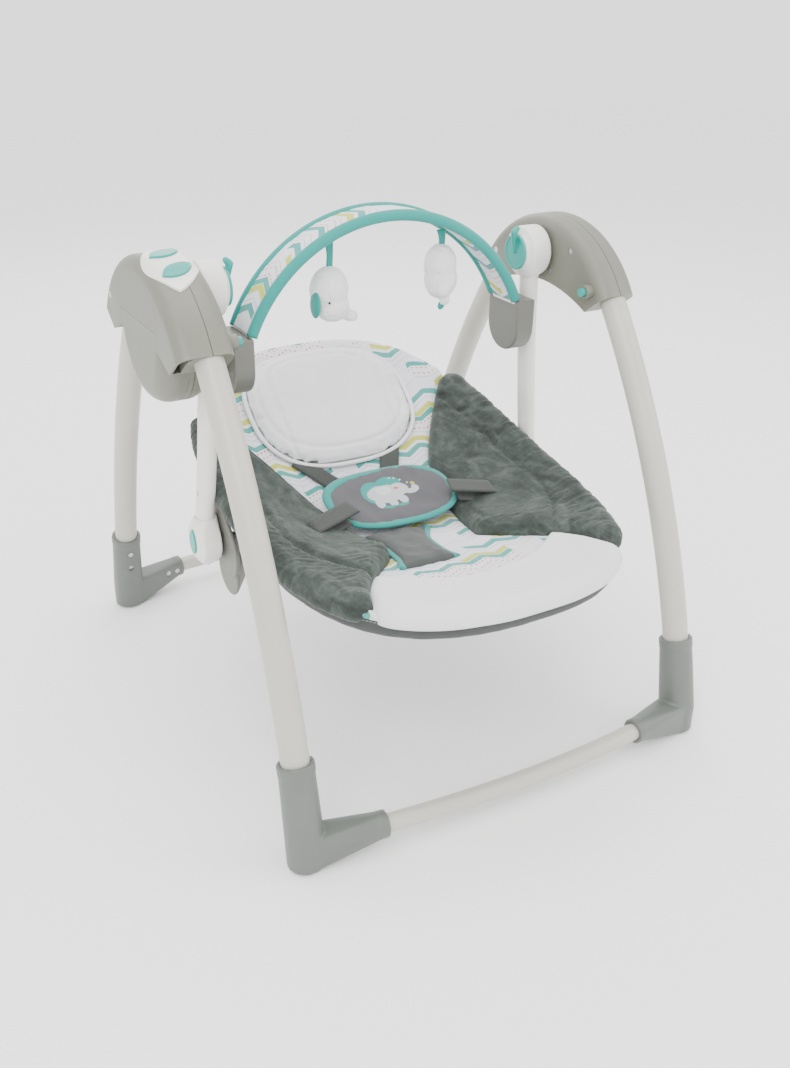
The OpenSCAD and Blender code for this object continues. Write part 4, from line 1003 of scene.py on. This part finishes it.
def applique(tree, where):
    # a generic little beast in profile under a round teal hill, with a dotted spray
    xyz = addNode(tree, "ShaderNodeSeparateXYZ", {"Vector": where}).outputs
    x = calc(tree, "SUBTRACT", xyz[0], waist["x"])
    y = calc(tree, "SUBTRACT", xyz[1], waist["y"])

    def blob(cx, cy, a, b):
        u = calc(tree, "DIVIDE", calc(tree, "SUBTRACT", x, cx), a)
        w = calc(tree, "DIVIDE", calc(tree, "SUBTRACT", y, cy), b)
        return calc(tree, "LESS_THAN", calc(tree, "ADD", calc(tree, "MULTIPLY", u, u),
                                            calc(tree, "MULTIPLY", w, w)), 1.0)

    def together(parts):
        whole = parts[0]
        for part in parts[1:]:
            whole = calc(tree, "MAXIMUM", whole, part)
        return whole

    colour = shade(fabrics["waist"]["colour"], 1.0)
    hill = together([blob(-0.018, 0.006, 0.017, 0.021), blob(0.006, 0.019, 0.017, 0.011)])
    colour = mixColour(tree, hill, colour, zigzag["teal"] + (1,))
    beast = together([blob(-0.006, 0.002, 0.024, 0.016), blob(0.015, 0.006, 0.012, 0.011),
                      blob(-0.021, -0.013, 0.0055, 0.009), blob(-0.004, -0.015, 0.0055, 0.008),
                      blob(0.011, -0.013, 0.0055, 0.008), blob(0.028, -0.003, 0.008, 0.0045),
                      blob(0.035, 0.001, 0.0045, 0.006)])
    colour = mixColour(tree, beast, colour, (0.55, 0.56, 0.58, 1))
    colour = mixColour(tree, blob(-0.006, 0.008, 0.010, 0.008), colour, (0.68, 0.69, 0.71, 1))
    colour = mixColour(tree, blob(0.012, 0.009, 0.0032, 0.0022), colour, zigzag["orange"] + (1,))
    colour = mixColour(tree, blob(0.036, 0.010, 0.003, 0.003), colour, zigzag["lime"] + (1,))
    spray = together([blob(0.012 + 0.006 * i, 0.027 - 0.0045 * i * i * 0.35, 0.0012, 0.0012) for i in range(5)])
    colour = mixColour(tree, spray, colour, (0.8, 0.78, 0.72, 1))
    return mixColour(tree, together([blob(-0.012, -0.022, 0.010, 0.0025), blob(0.006, -0.022, 0.008, 0.0025)]),
                     colour, zigzag["teal"] + (1,))


materials["waistPicture"] = fabricMaterial("waistPicture", fabrics["waist"], applique)


def makeWaist(v):
    under = lambda x, y: v["lift"] + v["tilt"] * (y - v["lowY"])
    crown = lambda x, y, s: 0.0035 + (v["thick"] - 0.0035) * np.clip(1 - s ** 3, 0, 1) ** 0.6
    piece, edge = discPad("waistPad", v, "waistPicture", crown, under)
    co, n = coordsOf(piece.data), normalsOf(piece.data)
    upper = n[:, 2] > 0.2
    rub = 0.0014 * ridged(co, 42, 31, (1.2, 0.7, 1)) + 0.0014 * wrinkles(co, 30, 8)
    moveTo(piece.data, co + n * (rub * upper)[:, None])
    finishPiece(piece, "seat", ["waist_pad"])
    trim = tubeAlong("waistBinding", edge, v["binding"], "binding", closed=True, flat=0.5)
    finishPiece(trim, "seat")


makeWaist(waist)

crotch = {"y0": -0.188, "y1": -0.074, "x0": -0.022, "xAt": -0.085, "lean": 1 / 7, "half": 0.028,
          "topFlare": 0.014, "lowFlare": 0.008, "thick": 0.009, "lift": 0.002, "rows": 46, "cols": 30, "binding": 0.0042}


def makeCrotch(v):
    y = np.linspace(v["y0"], v["y1"], v["rows"])[:, None] + np.zeros((1, v["cols"]))
    u = np.linspace(-1, 1, v["cols"])[None, :] + np.zeros((v["rows"], 1))
    half = (v["half"] + v["topFlare"] * np.clip((y + 0.130) / 0.045, 0, 1) ** 2
            + v["lowFlare"] * np.clip((-0.155 - y) / 0.035, 0, 1) ** 2)
    x = v["x0"] + (y - v["xAt"]) * v["lean"] + u * half
    t = np.linspace(0, 1, v["rows"])[:, None]
    crown = (1 - np.abs(u) ** 4) ** 0.5 * np.clip(np.minimum(t, 1 - t) / 0.12, 0, 1) ** 0.4
    top = padSurface(x, y, v["lift"] + 0.003 + (v["thick"] - 0.003) * crown)
    top[..., 2] += (0.0026 * ridged(top, 34, 41, (1.2, 0.6, 1)) + 0.0010 * wrinkles(top, 60, 43)) * crown
    piece = slab("crotchPiece", top, padSurface(x, y, v["lift"] + 0 * x), "crotch")
    finishPiece(piece, "seat", ["crotch_strap"])
    edges = [tubeAlong("edge", [top[i, j] for i in range(v["rows"])], v["binding"], "binding", flat=0.55)
             for j in (0, -1)]
    finishPiece(joined("crotchBinding", edges), "seat")


makeCrotch(crotch)

straps = {"width": 0.025, "thick": 0.0022, "lift": 0.0062,
          "shoulder": {"left": ((-0.074, 0.092), (-0.020, 0.030)), "right": ((0.064, 0.092), (0.030, 0.030))},
          "loopReach": 0.052, "loopRadius": 0.0065, "loopY": -0.058, "loopZ": 0.032}


def strapOver(name, start, end, v):
    # a strap that lies on the seat between two points of it
    centre, across, out = [], [], []
    for t in np.linspace(0, 1, 22):
        x, y = start[0] + (end[0] - start[0]) * t, start[1] + (end[1] - start[1]) * t
        up = seatUp(x, y)
        ahead = Vector((end[0] - start[0], end[1] - start[1], 0)).normalized()
        ahead = (ahead - up * ahead.dot(up)).normalized()
        centre.append(Vector((x, y, float(seatZ(x, y)))) + up * (v["lift"] + 0.0015 * math.sin(t * 7)))
        across.append(ahead.cross(up))
        out.append(up)
    return band(name, centre, across, out, v["width"], v["thick"], "webbing"), centre


def makeStraps(v):
    for label, (start, end) in v["shoulder"].items():
        piece, centre = strapOver(label + "ShoulderStrap", start, end, v)
        finishPiece(piece, "seat", ["harness_straps"])
    for label, side in (("left", -1), ("right", 1)):
        # a hairpin of webbing that comes out from under the waist pad and turns back
        r, reach = v["loopRadius"], v["loopReach"]
        line = [(reach * t, r) for t in np.linspace(0, 1, 14)]
        line += [(reach + r * math.sin(a), r * math.cos(a)) for a in np.linspace(0.25, math.pi - 0.25, 9)]
        line += [(reach * (1 - t), -r * (1 - 0.3 * t)) for t in np.linspace(0.06, 0.8, 9)]
        centre, across, out = [], [], []
        baseX, baseZ = 0.066, float(seatZ(0.085, v["loopY"])) + v["loopZ"]
        for i, (a, b) in enumerate(line):
            centre.append(Vector((side * (baseX + a), v["loopY"] - 0.22 * a, baseZ + b - 0.16 * a)))
        for i in range(len(centre)):
            ahead = (centre[min(i + 1, len(centre) - 1)] - centre[max(i - 1, 0)]).normalized()
            side2 = Vector((0.12 * side, 1, 0.22)).normalized()
            side2 = (side2 - ahead * side2.dot(ahead)).normalized()
            across.append(side2)
            out.append(ahead.cross(side2))
        piece = band(label + "WaistStrap", centre, across, out, v["width"], v["thick"], "webbing")
        finishPiece(piece, "seat", ["harness_straps"])


makeStraps(straps)

tag = {"width": 0.013, "length": 0.016, "thick": 0.0008, "angle": math.radians(63)}


def makeTag(v):
    px, py = rimPoint(np.array([v["angle"]]))
    x, y = float(px[0]), seatMid + float(py[0])
    outwardWay = Vector((x, y - seatMid, 0)).normalized()
    start = Vector((x * 0.985, seatMid + (y - seatMid) * 0.985, float(seatZ(x * 0.98, y)) - 0.012))
    centre = [start + outwardWay * (v["length"] * t) - Vector((0, 0, 0.004 * t * t))
              for t in np.linspace(0, 1, 8)]
    side = outwardWay.cross(Vector((0, 0, 1)))
    piece = band("rimTag", centre, [Vector((0, 0, 1))] * 8, [side] * 8, v["width"], v["thick"],
                 "webbing", rows=4)
    finishPiece(piece, "seat")


makeTag(tag)
print("pads and straps made")

# toy bar
sleeveLow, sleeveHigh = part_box("toy_bar_sleeve")
bar = {"radius": 0.189, "y": (sleeveLow.y + sleeveHigh.y) / 2, "width": sleeveHigh.y - sleeveLow.y,
       "thick": 0.0062, "piping": 0.0048, "steps": 120, "across": 15}
bar["z"] = sleeveHigh.z - bar["radius"] + 0.0004
bar["start"] = math.asin((sleeveLow.z - bar["z"]) / (bar["radius"] - 0.004))


def makeBar(v):
    angles = np.linspace(v["start"] + 0.005, math.pi - v["start"] - 0.005, v["steps"])
    half = v["width"] / 2 - v["piping"]
    ring = []
    for k in range(v["across"]):
        ring.append((half * (2 * k / (v["across"] - 1) - 1), 1))
    ring += [(y, -1) for y, _ in reversed(ring)]
    points, faces, uvs = [], [], []
    for i, a in enumerate(angles):
        for y, side in ring:
            belly = 0.0008 * (1 - (y / half) ** 2) * side
            ripple = 0.0006 * noise.noise(Vector((a * 14, y * 60, side * 3.0)))
            r = v["radius"] - 0.0042 + side * v["thick"] / 2 + belly + ripple
            points.append((r * math.cos(a), v["y"] + y, v["z"] + r * math.sin(a)))
            uvs.append((a * v["radius"] + 0.02, y + 0.5))
    n = len(ring)
    for i in range(len(angles) - 1):
        for k in range(n):
            m = (k + 1) % n
            faces.append((i * n + k, i * n + m, (i + 1) * n + m, (i + 1) * n + k))
    faces.append(tuple(range(n)))
    faces.append(tuple((len(angles) - 1) * n + k for k in range(n)))
    piece = meshFrom("barSleeve", points, faces, "bandPrint")
    layer = piece.data.uv_layers.new(name="band")
    for loop in piece.data.loops:
        layer.data[loop.index].uv = uvs[loop.vertex_index]
    outward(piece)
    finishPiece(piece, "toy_bar", ["toy_bar_sleeve"])
    cords = []
    for side in (-1, 1):
        path, lifts = [], []
        for a in angles:
            r = v["radius"] - 0.0042
            y = v["y"] + side * (v["width"] / 2 - v["piping"] - 0.0006)
            path.append((r * math.cos(a), y, v["z"] + r * math.sin(a)))
            lifts.append((math.cos(a), 0, math.sin(a)))
        cords.append(tubeAlong("piping", path, v["piping"] * 1.15, "binding", up=lifts, flat=1.15))
    trim = joined("barPiping", cords)
    finishPiece(trim, "toy_bar")


makeBar(bar)


# hanging toys
def ball(centre, size, turn=0.0, seg=28):
    points, faces = [], []
    spin = Matrix.Rotation(turn, 3, "Y")
    for i in range(seg + 1):
        b = math.pi * i / seg
        for k in range(seg):
            a = 2 * math.pi * k / seg
            p = Vector((size[0] * math.sin(b) * math.cos(a), size[1] * math.sin(b) * math.sin(a),
                        size[2] * math.cos(b)))
            points.append(Vector(centre) + spin @ p)
    for i in range(seg):
        for k in range(seg):
            m = (k + 1) % seg
            faces.append((i * seg + k, (i + 1) * seg + k, (i + 1) * seg + m, i * seg + m))
    return outward(meshFrom("ball", points, faces, "plushToy"))


toys = {
    "left": {"node": "left_toy", "body": "left_toy",
             "parts": [((0, 0, -0.026), (0.0225, 0.019, 0.026), 0), ((0.003, 0, -0.045), (0.020, 0.018, 0.018), 0),
                       ((0.015, -0.001, -0.052), (0.0105, 0.010, 0.009), 0.5),
                       ((0.024, -0.001, -0.058), (0.008, 0.008, 0.007), 0.3),
                       ((0.029, -0.001, -0.059), (0.0062, 0.0062, 0.0062), 0)],
             "ear": ((-0.020, -0.006, -0.040), (0.004, 0.011, 0.015), 0.05),
             "eyes": [((-0.008, -0.0172, -0.037), 0.0014)]},
    "right": {"node": "right_toy", "body": "right_toy",
              "parts": [((0, 0, -0.020), (0.0195, 0.018, 0.024), 0), ((0.001, 0, -0.036), (0.020, 0.018, 0.024), 0),
                        ((-0.004, -0.013, -0.048), (0.008, 0.009, 0.007), 0),
                        ((0.001, -0.010, -0.060), (0.007, 0.006, 0.006), 0)],
              "ear": ((-0.001, -0.006, -0.0665), (0.0042, 0.003, 0.0055), 0.4),
              "eyes": []},
}


def makeToy(label, v):
    joint = [j for j in frame["joints"] if j["child"] == v["node"]][0]
    pivot = Vector(joint["pos_m"])
    strapLength = 0.028 if label == "left" else 0.016
    top = pivot - Vector((0, 0, strapLength))
    balls = [ball(top + Vector(c), s, t) for c, s, t in v["parts"]]
    body = joined(label + "ToyBody", balls)
    remeshed(body, 0.0016, 9, "plushToy")
    co, n = coordsOf(body.data), normalsOf(body.data)
    moveTo(body.data, co + n * (0.0006 * wrinkles(co, 300, 2) + 0.0005 * wrinkles(co, 120, 4))[:, None])
    finishPiece(body, v["body"], [v["node"]])
    ear = ball(top + Vector(v["ear"][0]), v["ear"][1], v["ear"][2], 20)
    ear.name = label + "ToyPatch"
    ear.data.materials.clear()
    ear.data.materials.append(materials["binding"])
    finishPiece(ear, v["body"])
    for i, (c, r) in enumerate(v["eyes"]):
        eye = ball(top + Vector(c), (r, r, r), 0, 12)
        eye.name = label + "ToyEye%d" % i
        eye.data.materials.clear()
        eye.data.materials.append(materials["eye"])
        finishPiece(eye, v["body"])
    # ribbon from the band down into the toy's crown
    n = 14
    line, across, out, widths = [], [], [], []
    for i in range(n):
        t = i / (n - 1)
        z = pivot.z + 0.004 - t * (strapLength + 0.009)
        line.append((pivot.x + 0.0015 * math.sin(t * 3), pivot.y, z))
        across.append((1, 0, 0))
        out.append((0, 1, 0))
        widths.append(0.0115 - 0.0045 * math.sin(min(t * 1.6, 1) * math.pi / 2))
    ribbon = band(label + "ToyRibbon", line, across, out, widths, 0.0022, "binding")
    finishPiece(ribbon, v["body"])


for label, v in toys.items():
    makeToy(label, v)
print("toys made")

# moulded parts with eased edges
shells = [
    (["front_left_foot", "front_right_foot"], "foot", "stand", "foot_grey", 0.0015, 6),
    (["rear_left_foot", "rear_right_foot"], "foot", "rear_frame", "foot_grey", 0.0015, 6),
    (["left_arm", "right_arm"], "white", "swing_arms", "white_plastic", 0.0014, 8),
    (["left_pivot_casing", "right_pivot_casing"], "white", "swing_arms", "white_plastic", 0.0012, 6)]
for nodes, material, body, slotName, voxel, rounds in shells:
    for node in nodes:
        softened(node, node.replace("_", "") + "Shell", material, body, voxel, rounds)
softened("bar_sockets", "barSocketShells", "clip", "toy_bar", 0.0015, 4)
softened("seat_brackets", "seatBracketShells", "clip", "seat", 0.0013, 6)
softened("hub_caps", "hubCapShells", "teal", "swing_arms", 0.0006, 5)
print("moulded parts made")

# studio
studio = {"floor": (0.97, 0.97, 0.97), "world": 1.9,
          "lights": [("key", (-1.5, -1.9, 2.3), 1.6, 52), ("fill", (2.0, -1.5, 1.5), 1.6, 20),
                     ("top", (0.0, 0.3, 2.6), 2.0, 34), ("back", (0.6, 2.0, 1.7), 1.4, 14)]}


def makeStudio(v):
    material, tree, surface = startMaterial("paper", 0.9)
    surface.inputs["Base Color"].default_value = v["floor"] + (1,)
    half = 6.0
    floor = meshFrom("studioFloor", [(-half, -half, -0.0003), (half, -half, -0.0003), (half, half, -0.0003),
                                     (-half, half, -0.0003)], [(0, 1, 2, 3)], "white", smooth=False)
    floor.data.materials.clear()
    floor.data.materials.append(material)
    world = bpy.data.worlds.new("studio")
    world.use_nodes = True
    world.node_tree.nodes["Background"].inputs[0].default_value = (1, 1, 1, 1)
    world.node_tree.nodes["Background"].inputs[1].default_value = v["world"]
    scene.world = world
    for name, spot, size, power in v["lights"]:
        data = bpy.data.lights.new(name, "AREA")
        data.size = size
        data.energy = power
        lamp = bpy.data.objects.new(name, data)
        lamp.location = spot
        aim = Vector((0, 0, 0.28)) - Vector(spot)
        lamp.rotation_euler = aim.to_track_quat("-Z", "Y").to_euler()
        scene.collection.objects.link(lamp)


makeStudio(studio)

print("all pieces made")
